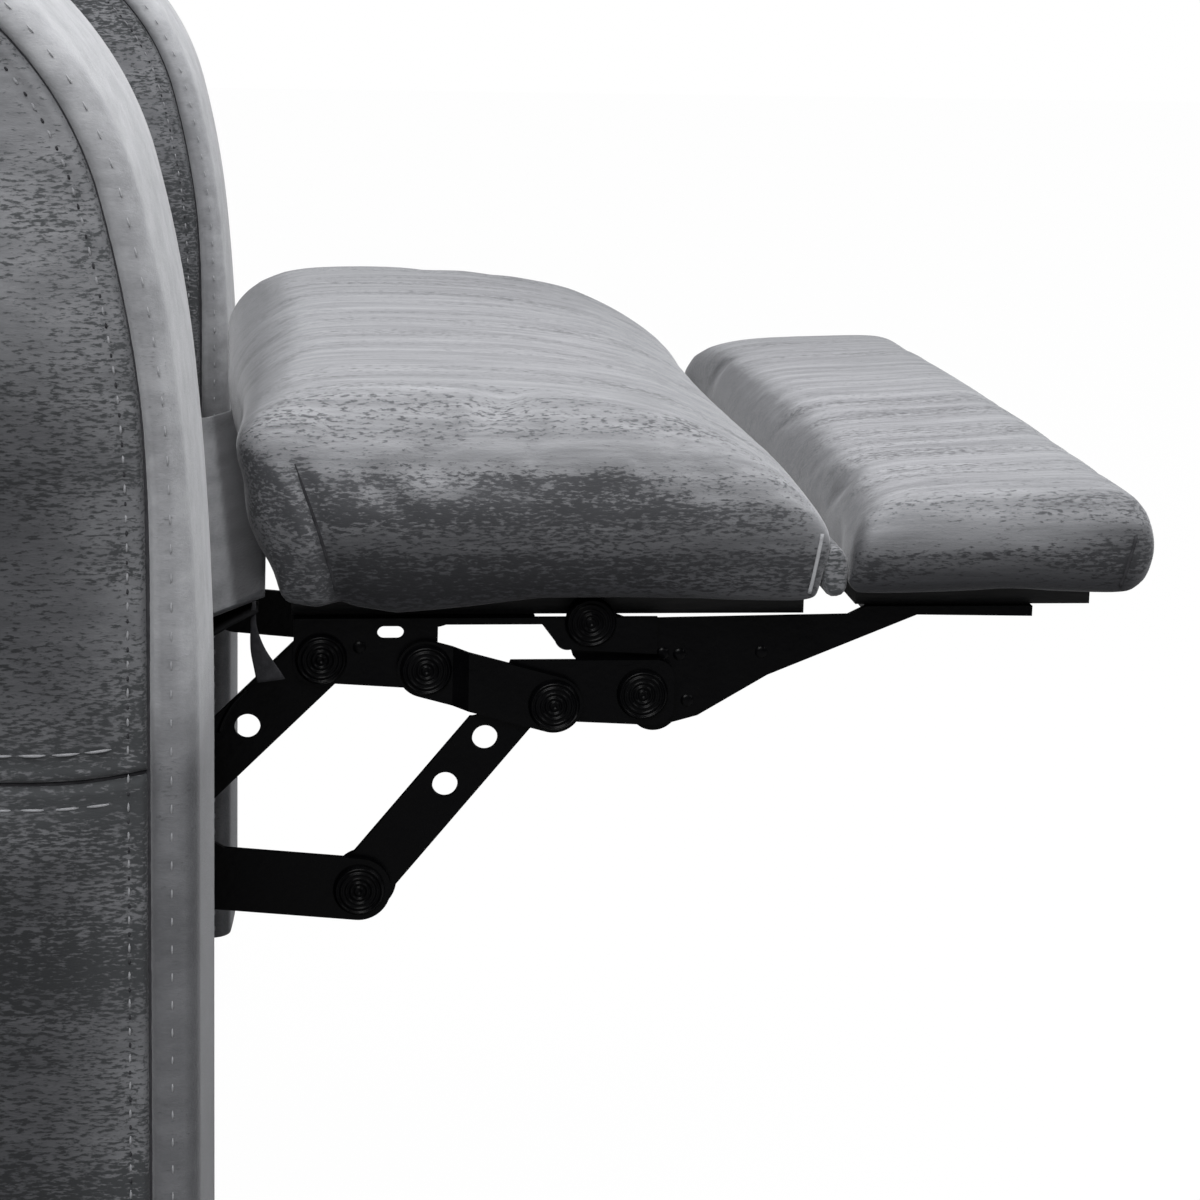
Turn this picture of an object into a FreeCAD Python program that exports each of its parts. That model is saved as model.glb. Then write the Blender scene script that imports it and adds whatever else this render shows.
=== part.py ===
# Reclining chair with its footrest out. Sizes in millimetres.
# X points forward, Y to the sitter's left and Z up. The floor is at Z = 0.
# Right-hand pieces lie at negative Y, and left-hand ones are their mirror image.
import FreeCAD, Part
import math
import os
from FreeCAD import Vector

os.makedirs("parts", exist_ok=True)

# Overall upholstery
seat_width = 540.0
arm_gap = 5.0
arm_width = 180.0
arm_front = 240.0
arm_back = -545.0
arm_underside = 50.0
arm_straight_height = 385.0
arm_arc_radii = (1305.0, 545.0, 150.0, 85.0)
arm_arc_ends = (0.0, 6.1, 15.0, 50.0, 90.0)
arm_rear_round = 60.0
band_thickness = 25.0
band_edge_round = 12.0
panel_gap = 1.0
outer_padding = 15.0
inner_padding = 12.0
inner_panel_bottom = 340.0
inner_panel_step = -10.0

# Wooden frame
inner_board_thickness = 15.0
outer_board_thickness = 6.0
post_depth = 40.0
arm_rail_height = 25.0
front_post_top = 590.0
rear_post_top = 600.0
post_setback = 60.0
rear_post_setback = 12.0
base_rail_thickness = 15.5
base_rail_bottom = 60.0
base_rail_height = 80.0
base_rail_front = -30.0
base_rail_back = -470.0
cross_rail_thickness = 20.0
seat_rail_bottom = 401.0
seat_rail_height = 43.0
seat_rail_thickness = 22.0
seat_rail_front = 165.0
seat_rail_back = -300.0
front_rail_bottom = 412.0
glide_diameter = 50.0
glide_foot_diameter = 42.0

# Seat cushion
seat_cushion_back = -285.0
seat_cushion_top = 488.0
seat_crown = 12.0
nose_front = 213.0
nose_top_front = 195.0
nose_bottom = 408.0
nose_rail_gap = 0.5

# Footrest pads
pad_bottom = 406.0
pad_back = 260.0
pad_rear = 231.0
pad_roll = 32.0
pad_front = 518.0
pad_front_slope = 58.0
pad_top = 485.0
pad_crown = 10.0
flip_gap = 5.0
flip_pad_bottom = 408.0
flip_pad_front = 655.0
flip_pad_top = 451.0
flip_pad_crown = 6.0
footrest_board_thickness = 10.0
footrest_board_overhang = 12.0
flip_board_thickness = 8.0
flip_board_back = 530.0
flip_board_front = 640.0
flip_flange_inset = 28.0
flip_web_back = 40.7
flip_web_drop = 29.1
board_edge_gap = 1.5

# Footrest linkage, side view pivots with the footrest out
main_pivot = (158.894, 324.931)
front_link_pivot = (205.86, 299.25)
bracket_pivot = (285.3, 377.5)
short_pivot = (332.4, 373.1)
elbow_pivot = (390.3, 357.3)
lower_end_pivot = (430.9, 361.2)
flip_pivot = (406.9, 394.1)
bracket_slot_centre = 316.5
bracket_slot_length = 12.0
bracket_slot_width = 6.0
bracket_slot_drop = 0.6
rear_end_pivot = (303.0, 271.2)
rear_link_knee = (240.6, 277.1)
plate_thickness = 3.0
layer_gap = 0.5
plate_standoff = 6.0
link_half_width = 13.0
rear_link_half_width = 14.5
front_link_half_width = 13.5
rivet_shank = 11.0
rivet_head = 23.0
rivet_head_height = 2.5
rivet_tail = 16.0
rivet_tail_height = 1.5
running_clearance = 0.1
link_hole = 11.6
spacer_diameter = 14.0
spacer_clearance = 1.0
lower_link_fold = 103.643
flange_width = 38.0
joggle_length = 7.0
fit_gap = 0.3

# Drive: cross tube, crank arms, drive links and side lever
crank_radius = 40.0
crank_angle = 160.0
drive_spacing = 200.0
drive_slope = 12.0
tube_diameter = 16.0
crank_half_width = 10.0
stud_diameter = 12.0
stud_head = 17.0
stud_head_height = 0.8
pin_diameter = 8.0
pin_head = 13.0
pin_head_height = 0.8
lever_length = 165.0
lever_angle = 100.0
lever_root_width = 26.0
lever_tip_width = 40.0
lever_thickness = 9.0
lever_gap = 5.0
hub_diameter = 34.0
lever_bolt_head = 14.0
return_wire = 3.0
return_turns = 7
return_pitch = 4.2
return_coil_inset = 40.0

# Side plates
plate_corner = 22.0
plate_tab = 20.0
plate_belly_drop = 74.0
leg_setback = 34.0
leg_depth = 156.0
leg_lift = 30.0

# Back
hinge_pivot = (-366.5, 372.0)
back_tilt = 18.5
hinge_pin_diameter = 12.0
back_side_gap = 2.0
back_bracket_thickness = 5.0
hinge_boss_length = 4.0
hinge_boss_diameter = 24.0
back_post_width = 24.0
back_post_depth = 45.0
back_post_rear = -72.0
back_frame_bottom = -110.0
back_frame_top = 590.0
back_rail_height = 50.0
rear_cover_thickness = 11.0
rear_cover_bottom = -200.0
back_top = 668.0
cushion_rear = -25.0
lumbar_bottom = 62.0
lumbar_top = 290.0
lumbar_front = 90.0
middle_top = 470.0
middle_front = 70.0
head_front = 92.0
cushion_gap = 2.0
cushion_crown = 16.0
head_crown = 22.0
side_panel_bottom = 30.0
side_panel_thickness = 9.0

# Springs
spring_wire = 4.0
seat_spring_count = 5
seat_spring_reach = 26.0
seat_spring_waves = 9
back_spring_count = 4
back_spring_waves = 9
back_spring_reach = 24.0

# Screws and bolts
bolt_diameter = 8.0
bolt_head = 16.0
bolt_head_height = 4.0
bolt_depth = 12.0
screw_diameter = 4.5
screw_head = 10.0
screw_head_height = 1.6
screw_length = 9.0

arm_inner = seat_width / 2 + arm_gap
arm_outer = arm_inner + arm_width
inner_board_face = arm_inner + inner_padding
post_inner = inner_board_face + inner_board_thickness
outer_board_face = arm_outer - outer_padding
post_outer = outer_board_face - outer_board_thickness

layer_pitch = plate_thickness + layer_gap
side_plate_layer = inner_board_face - base_rail_thickness - plate_standoff - plate_thickness
drive_layer = side_plate_layer - layer_pitch - layer_gap
rear_outer_layer = drive_layer - layer_pitch
short_layer = rear_outer_layer - layer_pitch - layer_gap
lower_layer = short_layer - layer_pitch
bracket_layer = lower_layer - layer_pitch
flip_layer = bracket_layer - layer_pitch


def save(name, shape):
    """Write one piece, or a group of like pieces, as a STEP file."""
    shape.exportStep("parts/" + name + ".step")


def group(solids):
    return Part.makeCompound(solids)


def left(shape):
    """The left-hand twin of a right-hand piece."""
    return shape.mirror(Vector(0, 0, 0), Vector(0, 1, 0))


def save_pair(name, right_shape):
    save("right_" + name, right_shape)
    save("left_" + name, left(right_shape))


def both(right_solids):
    return group(right_solids + [left(solid) for solid in right_solids])


def at(x, z, y=0.0):
    return Vector(x, y, z)


def outline(segments, y=0.0):
    """A closed side-view wire from a start point, lines (x, z) and arcs (mid x, mid z, x, z)."""
    here = at(segments[0][0], segments[0][1], y)
    start = here
    edges = []
    for segment in segments[1:]:
        there = at(segment[-2], segment[-1], y)
        if len(segment) == 2:
            edges.append(Part.LineSegment(here, there).toShape())
        else:
            middle = at(segment[0], segment[1], y)
            edges.append(Part.Arc(here, middle, there).toShape())
        here = there
    if (here - start).Length > 1e-6:
        edges.append(Part.LineSegment(here, start).toShape())
    return Part.Wire(edges)


def slab(segments, y_low, y_high):
    """A flat piece with a side-view outline, between two depths."""
    face = Part.Face(outline(segments, y_low))
    return face.extrude(Vector(0, y_high - y_low, 0))


def right_slab(segments, inner, thickness):
    return slab(segments, -inner - thickness, -inner)


def block(x0, x1, y0, y1, z0, z1):
    return Part.makeBox(x1 - x0, y1 - y0, z1 - z0, Vector(x0, y0, z0))


def rod(point, diameter, y_low, y_high):
    """A round bar along Y through a side-view point."""
    return Part.makeCylinder(diameter / 2, y_high - y_low, at(point[0], point[1], y_low), Vector(0, 1, 0))


def loft(wires, ruled=False):
    return Part.makeLoft(wires, True, ruled)


def scaled(segments, centre_x, base_z, scale_x, scale_z):
    """The outline drawn in towards a centre line, with its underside kept level."""
    result = []
    for segment in segments:
        values = []
        for index, value in enumerate(segment):
            if index % 2 == 0:
                values.append(centre_x + (value - centre_x) * scale_x)
            else:
                values.append(base_z + (value - base_z) * scale_z)
        result.append(tuple(values))
    return result


def padded(segments, half_width, centre_x, base_z, end_scale, end_height):
    """A stuffed form: a side-view outline at full size in the middle and drawn in at both ends."""
    right_half = (-1.0, -0.975, -0.93, -0.85, -0.65, -0.35)
    wires = []
    for station in right_half + (0.0,) + tuple(-share for share in reversed(right_half)):
        drawn_in = abs(station) ** 10
        scale_x = 1.0 - drawn_in * (1.0 - end_scale)
        scale_z = 1.0 - drawn_in * (1.0 - end_height)
        wires.append(outline(scaled(segments, centre_x, base_z, scale_x, scale_z), station * half_width))
    return loft(wires)


def turned(point, centre, degrees):
    """A side-view point turned about a centre, from +X towards +Z."""
    angle = math.radians(degrees)
    dx = point[0] - centre[0]
    dz = point[1] - centre[1]
    return (centre[0] + dx * math.cos(angle) - dz * math.sin(angle),
            centre[1] + dx * math.sin(angle) + dz * math.cos(angle))


def polar(centre, radius, degrees):
    return turned((centre[0] + radius, centre[1]), centre, degrees)


def bar(points, half_width):
    """A side-view region of even width along a path, with round ends."""
    pieces = []
    for first, second in zip(points[:-1], points[1:]):
        angle = math.degrees(math.atan2(second[1] - first[1], second[0] - first[0]))
        a = polar(first, half_width, angle + 90)
        b = polar(second, half_width, angle + 90)
        c = polar(second, half_width, angle)
        d = polar(second, half_width, angle - 90)
        e = polar(first, half_width, angle - 90)
        f = polar(first, half_width, angle + 180)
        pieces.append(Part.Face(outline([a, b, c + d, e, f + a])))
    region = pieces[0]
    for piece in pieces[1:]:
        region = region.fuse(piece)
    return region.removeSplitter()


def plate(region, inner, thickness=plate_thickness):
    """A right-hand steel plate from a side-view region, its inner face at a distance from the middle."""
    solids = [face.extrude(Vector(0, thickness, 0)) for face in region.Faces]
    solid = solids[0]
    if len(solids) > 1:
        solid = solid.fuse(solids[1:]).removeSplitter()
    solid.translate(Vector(0, -inner - thickness, 0))
    return solid.Solids[0]


def joggled(region, first_inner, second_inner, start_x, end_x):
    """A right-hand plate that steps from one layer to another between two places along X."""
    low = min(first_inner, second_inner)
    high = max(first_inner, second_inner) + plate_thickness
    thick = plate(region, low, high - low)
    box = thick.BoundBox
    x0 = box.XMin - 1
    x1 = box.XMax + 1
    z0 = box.ZMin - 1
    steps = [(x0, first_inner), (start_x, first_inner), (end_x, second_inner), (x1, second_inner)]
    near = [Vector(x, -y, z0) for x, y in steps]
    far = [Vector(x, -y - plate_thickness, z0) for x, y in reversed(steps)]
    profile = Part.Face(Part.makePolygon(near + far + near[:1]))
    band = profile.extrude(Vector(0, 0, box.ZLength + 2))
    return thick.common(band).Solids[0]


def drilled(solid, points, diameter):
    for point in points:
        solid = solid.cut(rod(point, diameter, -arm_outer, -1.0))
    return solid


def rivet(point, head_plane, tail_plane, has_tail=True):
    """A right-hand shoulder rivet with a ringed head outside and a plain tail inside."""
    radius = rivet_head / 2
    ring = radius * 0.66
    groove = radius * 0.5
    y = -head_plane
    outer = [(radius, y), (radius, y - 0.9), (ring + 0.6, y - 1.4), (ring, y - rivet_head_height),
             (groove, y - rivet_head_height), (groove - 0.6, y - 1.5), (0, y - 1.5)]
    wire = Part.makePolygon([Vector(r, yy, 0) for r, yy in [(0, y)] + outer + [(0, y)]])
    head = Part.Face(wire).revolve(Vector(0, 0, 0), Vector(0, 1, 0), 360)
    head.translate(at(point[0], point[1]))
    shank = rod(point, rivet_shank, y, -tail_plane)
    solid = head.fuse(shank)
    if has_tail:
        solid = solid.fuse(rod(point, rivet_tail, -tail_plane, -tail_plane + rivet_tail_height))
    return solid.removeSplitter().Solids[0]


def winding(edges, wire_diameter):
    """A round wire along a path of straight runs and half-circle bends."""
    path = Part.Wire(edges)
    first = path.Edges[0]
    start = first.valueAt(first.FirstParameter)
    direction = first.tangentAt(first.FirstParameter)
    circle = Part.Wire([Part.Circle(start, direction, wire_diameter / 2).toShape()])
    return path.makePipeShell([circle], True, False)


def print_least_gap(name, edges, wire_diameter):
    """Print how near a wire comes to itself, from points 1 mm apart along its path."""
    points = Part.Wire(edges).discretize(Distance=1.0)
    skip = round(3 * wire_diameter)
    least = min((a - b).Length for index, a in enumerate(points) for b in points[index + skip:])
    print(name, "least gap to itself", round(least - wire_diameter, 2), "mm")


# Arms: the side-view curve of the front and top, and what is built to it
def arm_curve(inset):
    """Outline steps up the arm's front and over its top, at an inset from the finished surface."""
    centre = (arm_front - arm_arc_radii[0], arm_straight_height)
    steps = []
    for radius, low, high in zip(arm_arc_radii, arm_arc_ends[:-1], arm_arc_ends[1:]):
        if steps:
            centre = polar(joint, -radius, low)
        middle = polar(centre, radius - inset, (low + high) / 2)
        end = polar(centre, radius - inset, high)
        joint = polar(centre, radius, high)
        steps.append(middle + end)
    return steps, joint


arm_top_point = arm_curve(0.0)[1]
arm_top = arm_top_point[1]


def rear_corner(inset):
    """The rounded corner from the arm's top down to its rear face."""
    centre = (arm_back + arm_rear_round, arm_top - arm_rear_round)
    radius = arm_rear_round - inset
    return [polar(centre, radius, 90), polar(centre, radius, 135) + polar(centre, radius, 180)]


def arm_outline(inset, bottom=arm_underside):
    steps = arm_curve(inset)[0]
    return [(arm_front - inset, bottom), (arm_front - inset, arm_straight_height)] + steps + \
        rear_corner(inset) + [(arm_back + inset, bottom)]


def band_section(y, inset):
    """The padded band's outline at one depth: its outer face drawn in by an inset."""
    outer = [(arm_front - inset, arm_underside), (arm_front - inset, arm_straight_height)]
    outer += arm_curve(inset)[0] + rear_corner(inset) + [(arm_back + inset, arm_underside)]
    steps = arm_curve(band_thickness)[0]
    ends = [(arm_front - band_thickness, arm_straight_height)] + [step[2:] for step in steps]
    corner = rear_corner(band_thickness)
    inner = [(arm_back + band_thickness, arm_underside), corner[1][2:], corner[1][:2] + corner[0], ends[-1]]
    for index in range(len(steps) - 1, -1, -1):
        inner.append(steps[index][:2] + ends[index])
    inner.append((arm_front - band_thickness, arm_underside))
    return outline(outer + inner, y)


crowns = ((0.0, 1.0), (0.03, 0.45), (0.1, 0.1), (0.3, 0.0), (0.7, 0.0), (0.9, 0.1), (0.97, 0.45), (1.0, 1.0))
band_wires = []
for share, drawn_in in crowns:
    band_wires.append(band_section(-arm_outer + share * arm_width, band_edge_round * drawn_in))
save_pair("arm_front_band", loft(band_wires, ruled=True))

panel_inset = band_thickness + panel_gap
outer_panel = right_slab(arm_outline(panel_inset), outer_board_face, outer_padding)
tube_pivot = polar(main_pivot, -drive_spacing, drive_slope)
tube_passage = tube_diameter + 6.0
save("right_arm_outer_panel", drilled(outer_panel, [tube_pivot], tube_passage))
save("left_arm_outer_panel", left(outer_panel))

outer_board = right_slab(arm_outline(band_thickness), post_outer, outer_board_thickness)
save("right_arm_outer_board", drilled(outer_board, [tube_pivot], tube_passage))
save("left_arm_outer_board", left(outer_board))

inner_board = right_slab(arm_outline(band_thickness), inner_board_face, inner_board_thickness)
save("right_arm_inner_board", drilled(inner_board, [tube_pivot], tube_passage))
save("left_arm_inner_board", left(inner_board))

inner_panel_outline = arm_outline(panel_inset)[:-1]
inner_panel_outline += [(arm_back + panel_inset, inner_panel_bottom), (inner_panel_step, inner_panel_bottom),
                        (inner_panel_step, arm_underside)]
save_pair("arm_inner_panel", right_slab(inner_panel_outline, arm_inner, inner_padding))

front_post_front = arm_front - post_setback
front_post = block(front_post_front - post_depth, front_post_front, -post_outer, -post_inner,
                   arm_underside, front_post_top)
rear_post_back = arm_back + band_thickness + rear_post_setback
rear_post = block(rear_post_back, rear_post_back + post_depth, -post_outer, -post_inner,
                  arm_underside, rear_post_top)
arm_bottom_rail = block(rear_post_back + post_depth, front_post_front - post_depth, -post_outer, -post_inner,
                        arm_underside, arm_underside + arm_rail_height)
arm_top_rail = block(rear_post_back + post_depth, front_post_front - post_depth, -post_outer, -post_inner,
                     front_post_top - arm_rail_height, front_post_top)
save_pair("arm_frame", group([front_post, rear_post, arm_bottom_rail, arm_top_rail]))

# Floor glides under the four posts
glides = []
for x in (front_post_front - post_depth / 2, rear_post_back + post_depth / 2):
    y = -(post_outer + post_inner) / 2
    glides.append(Part.makeCone(glide_foot_diameter / 2, glide_diameter / 2, arm_underside, Vector(x, y, 0)))
save("floor_glides", both(glides))

# Base rails between the arms
rail_outer = inner_board_face
rail_inner = rail_outer - base_rail_thickness
base_rail_top = base_rail_bottom + base_rail_height
rail_bolt_z = base_rail_bottom + 55.0
rail_bolt_places = [(base_rail_front - 60.0, rail_bolt_z), (base_rail_front - 160.0, rail_bolt_z)]
bolt_hole = bolt_diameter + 2 * running_clearance
base_side_rail = block(base_rail_back, base_rail_front, -rail_outer, -rail_inner, base_rail_bottom, base_rail_top)
save("base_side_rails", both([drilled(base_side_rail, rail_bolt_places, bolt_hole)]))
cross_rails = []
for x in (base_rail_front - cross_rail_thickness, base_rail_back):
    cross_rails.append(block(x, x + cross_rail_thickness, -rail_inner, rail_inner, base_rail_bottom, base_rail_top))
save("base_cross_rails", group(cross_rails))

# Seat box rails, bolted inside the side plates
seat_rail_outer = side_plate_layer
seat_rail_inner = seat_rail_outer - seat_rail_thickness
seat_rail_top = seat_rail_bottom + seat_rail_height
seat_bolt_z = seat_rail_bottom + 20.0
seat_bolt_places = [(x, seat_bolt_z) for x in (seat_rail_front - 40.0, -60.0, seat_rail_back + 40.0)]
seat_side_rail = block(seat_rail_back, seat_rail_front, -seat_rail_outer, -seat_rail_inner,
                       seat_rail_bottom, seat_rail_top)
save("seat_side_rails", both([drilled(seat_side_rail, seat_bolt_places, bolt_hole)]))
save("seat_front_rail", block(seat_rail_front, seat_rail_front + cross_rail_thickness, -seat_rail_outer,
                              seat_rail_outer, front_rail_bottom, seat_rail_top))
save("seat_rear_rail", block(seat_rail_back - cross_rail_thickness, seat_rail_back, -seat_rail_outer,
                             seat_rail_outer, seat_rail_bottom, seat_rail_top))


def zigzag(start, along, across, count, reach, pitch):
    """Edges of a sinuous wire: straight runs across, joined by half-circle bends."""
    edges = []
    here = start
    side = 1.0
    for index in range(count):
        there = here + across * (side * 2 * reach)
        edges.append(Part.LineSegment(here, there).toShape())
        if index < count - 1:
            after = there + along * pitch
            middle = there + along * (pitch / 2) + across * (side * pitch / 2)
            edges.append(Part.Arc(there, middle, after).toShape())
            here = after
        side = -side
    return edges


seat_springs = []
spring_z = seat_rail_top - spring_wire
spring_length = seat_rail_front - seat_rail_back - 2 * fit_gap - spring_wire
seat_pitch = spring_length / (2 * seat_spring_waves)
seat_spring_spacing = 2 * seat_rail_inner / seat_spring_count
for index in range(seat_spring_count):
    y = (index - (seat_spring_count - 1) / 2) * seat_spring_spacing
    first = Vector(seat_rail_back + fit_gap + spring_wire / 2, y - seat_spring_reach / 2, spring_z)
    edges = zigzag(first, Vector(1, 0, 0), Vector(0, 1, 0), 2 * seat_spring_waves + 1, seat_spring_reach / 2,
                   seat_pitch)
    seat_springs.append(winding(edges, spring_wire))
save("seat_springs", group(seat_springs))
print_least_gap("seat spring", edges, spring_wire)

# Seat cushion: a crowned top, a rolled nose in front of the front rail and a flat underside on the rails
nose_inner = seat_rail_front + cross_rail_thickness + nose_rail_gap
seat_outline = [
    (seat_cushion_back, seat_rail_top),
    (seat_cushion_back - 4, (seat_rail_top + seat_cushion_top) / 2, seat_cushion_back + 6, seat_cushion_top - 2),
    ((seat_cushion_back + nose_top_front) / 2, seat_cushion_top + seat_crown, nose_top_front, seat_cushion_top),
    (nose_front - 4, (seat_cushion_top + nose_bottom) / 2 + 12, nose_front, nose_bottom + 16),
    (nose_front - 3, nose_bottom + 5, nose_front - 12, nose_bottom),
    (nose_inner, nose_bottom),
    (nose_inner, seat_rail_top),
]
save("seat_cushion", padded(seat_outline, seat_width / 2, nose_inner, seat_rail_top, 0.992, 0.8))

# Footrest pad on its board
pad_brow_x = pad_front - pad_front_slope
pad_brow_z = pad_top - 8.0
pad_outline = [
    (pad_back, pad_bottom),
    (pad_front - 12, pad_bottom),
    (pad_front - 3, pad_bottom + 6, pad_front, pad_bottom + 20),
    (pad_front - 15, pad_bottom + 49, pad_brow_x, pad_brow_z),
    ((pad_rear + pad_brow_x) / 2, pad_top + pad_crown, pad_rear + pad_roll, pad_top + 4),
    (pad_rear + pad_roll / 4, pad_top - 9, pad_rear, pad_top - 36),
    (pad_rear + pad_roll / 4, pad_bottom + 21, pad_back, pad_bottom),
]
pad_centre = (pad_back + pad_front) / 2
save("footrest_pad", padded(pad_outline, seat_width / 2, pad_centre, pad_bottom, 0.94, 0.84))

board_half_width = flip_layer - board_edge_gap
board_bottom = pad_bottom - footrest_board_thickness
footrest_board = block(pad_back + footrest_board_overhang, pad_front - footrest_board_overhang,
                       -board_half_width, board_half_width, board_bottom, pad_bottom)

# Flip-out pad on its board
flip_back = pad_front + flip_gap
flip_outline = [
    (flip_back, flip_pad_bottom),
    (flip_pad_front - 4, flip_pad_bottom),
    (flip_pad_front + 6, (flip_pad_bottom + flip_pad_top) / 2, flip_pad_front - 8, flip_pad_top),
    ((flip_back + flip_pad_front) / 2, flip_pad_top + flip_pad_crown, flip_back + 18, flip_pad_top),
    (flip_back + 4, flip_pad_top - 5, flip_back - 1, flip_pad_top - 18),
    (flip_back - 2, (flip_pad_bottom + flip_pad_top) / 2 - 4, flip_back, flip_pad_bottom),
]
flip_centre = (flip_back + flip_pad_front) / 2
save("flip_pad", padded(flip_outline, seat_width / 2, flip_centre, flip_pad_bottom, 0.95, 0.84))
flip_board_bottom = flip_pad_bottom - flip_board_thickness
flip_board = block(flip_board_back, flip_board_front, -board_half_width, board_half_width,
                   flip_board_bottom, flip_pad_bottom)

# Footrest linkage: flat links, two joggled ones and the two brackets with their flanges
shank_hole = rivet_shank + 2 * running_clearance

front_link_region = bar([bracket_pivot, front_link_pivot], front_link_half_width)
front_link = plate(front_link_region, flip_layer)
spare_hole = polar(bracket_pivot, 46.0, 224.5)
front_link = drilled(front_link, [bracket_pivot, front_link_pivot], shank_hole)
save_pair("front_link", drilled(front_link, [spare_hole], link_hole))

crank_end = polar(main_pivot, crank_radius, crank_angle)
rear_region = bar([rear_end_pivot, rear_link_knee], rear_link_half_width)
rear_region = rear_region.fuse(bar([rear_link_knee, front_link_pivot, main_pivot], link_half_width))
rear_region = rear_region.fuse(bar([main_pivot, crank_end], crank_half_width)).removeSplitter()
joggle_front = rear_link_knee[0] - 6.0
rear_link = joggled(rear_region, rear_outer_layer, short_layer, joggle_front - 2 * joggle_length, joggle_front)
rear_link = drilled(rear_link, [rear_end_pivot, front_link_pivot], rivet_shank)
rear_link = drilled(rear_link, [main_pivot], stud_diameter + 2 * running_clearance)
save_pair("rear_link", drilled(rear_link, [crank_end], pin_diameter + 4 * running_clearance))

lower_half_width = 12.3
lower_angle = 50.6
lower_elbow = (370.7, 377.0)
lower_region = bar([rear_end_pivot, polar(rear_end_pivot, 108.0, lower_angle)], lower_half_width)
head_outline = [
    polar(polar(rear_end_pivot, 98.0, lower_angle), lower_half_width, lower_angle + 90),
    polar(polar(rear_end_pivot, 116.0, lower_angle), lower_half_width, lower_angle + 90),
    lower_elbow,
    (437.0, 377.0),
    (443.0, 374.5, 445.5, 368.5),
    (445.5, 355.0),
    (443.0, 349.0, 437.0, 346.5),
    (401.5, 348.3),
    (388.0, 348.6, 379.3, 346.0),
    polar(polar(rear_end_pivot, 98.0, lower_angle), lower_half_width, lower_angle - 90),
]
lower_region = lower_region.fuse(Part.Face(outline(head_outline)))
lower_region = lower_region.fuse(bar([rear_end_pivot, polar(rear_end_pivot, 4.0, lower_angle)],
                                     rear_link_half_width)).removeSplitter()
lower_link = drilled(plate(lower_region, lower_layer), [rear_end_pivot, elbow_pivot], shank_hole)
lower_link = drilled(lower_link, [lower_end_pivot], rivet_shank)
lower_holes = [polar(rear_end_pivot, 61.8, 51.2), polar(rear_end_pivot, 90.0, 51.1)]
folded_spacer = turned(front_link_pivot, rear_end_pivot, -lower_link_fold)
lower_link = drilled(lower_link, [folded_spacer], spacer_diameter + 2 * spacer_clearance)
save_pair("lower_link", drilled(lower_link, lower_holes, link_hole))

short_region = bar([short_pivot, elbow_pivot], link_half_width)
joggle_back = short_pivot[0] + 12.1
short_link = joggled(short_region, lower_layer, short_layer, joggle_back, joggle_back + joggle_length)
short_link = drilled(short_link, [short_pivot], shank_hole)
save_pair("short_link", drilled(short_link, [elbow_pivot], rivet_shank))

bracket_top = board_bottom
flange_bottom = bracket_top - plate_thickness
bracket_back = bracket_pivot[0] - 12.3
bracket_front = flip_pivot[0] + 30.7
bracket_outline = [
    (bracket_back, bracket_top),
    (bracket_back, bracket_pivot[1] - 4.0),
    (bracket_back + 2.5, bracket_pivot[1] - 9.0, bracket_back + 9.0, bracket_pivot[1] - 11.0),
    (short_pivot[0] - 6.0, short_pivot[1] - 9.5),
    (short_pivot[0] + 2.5, short_pivot[1] - 7.0, short_pivot[0] + 5.2, short_pivot[1]),
    (short_pivot[0] + 5.4, bracket_top - 4.0),
    (short_pivot[0] + 6.4, flange_bottom - 0.8, short_pivot[0] + 9.0, flange_bottom),
    (flip_pivot[0] - 22.0, flange_bottom),
    (flip_pivot[0] - 16.0, flip_pivot[1] - 9.0),
    (flip_pivot[0] - 13.5, flip_pivot[1] - 12.2, flip_pivot[0] - 9.0, flip_pivot[1] - 13.0),
    (bracket_front, flip_pivot[1] - 15.2),
    (bracket_front, bracket_top),
]
bracket = slab(bracket_outline, -bracket_layer - plate_thickness, -bracket_layer)
flange = block(bracket_back, flip_pivot[0] - 25.0, -bracket_layer, -bracket_layer + flange_width,
               flange_bottom, bracket_top)
bracket = bracket.fuse(flange).removeSplitter()
bracket = drilled(bracket, [bracket_pivot, short_pivot, flip_pivot], rivet_shank)
bracket_screw_x = [bracket_back + 16.0, short_pivot[0] + 4.0, flip_pivot[0] - 36.0]
screw_y = -bracket_layer + flange_width * 0.62
for x in bracket_screw_x:
    bracket = bracket.cut(Part.makeCylinder((screw_diameter + 1) / 2, plate_thickness + 2,
                                            Vector(x, screw_y, flange_bottom - 1)))
slot_height = flange_bottom - bracket_slot_drop - bracket_slot_width / 2
slot_reach = (bracket_slot_length - bracket_slot_width) / 2
slot_ends = [(bracket_slot_centre - slot_reach, slot_height), (bracket_slot_centre + slot_reach, slot_height)]
bracket = drilled(bracket, slot_ends, bracket_slot_width)
bracket = bracket.cut(block(slot_ends[0][0], slot_ends[1][0], -bracket_layer - plate_thickness - 1, -bracket_layer + 1,
                            slot_height - bracket_slot_width / 2, slot_height + bracket_slot_width / 2))
save_pair("footrest_bracket", bracket.Solids[0])

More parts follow.
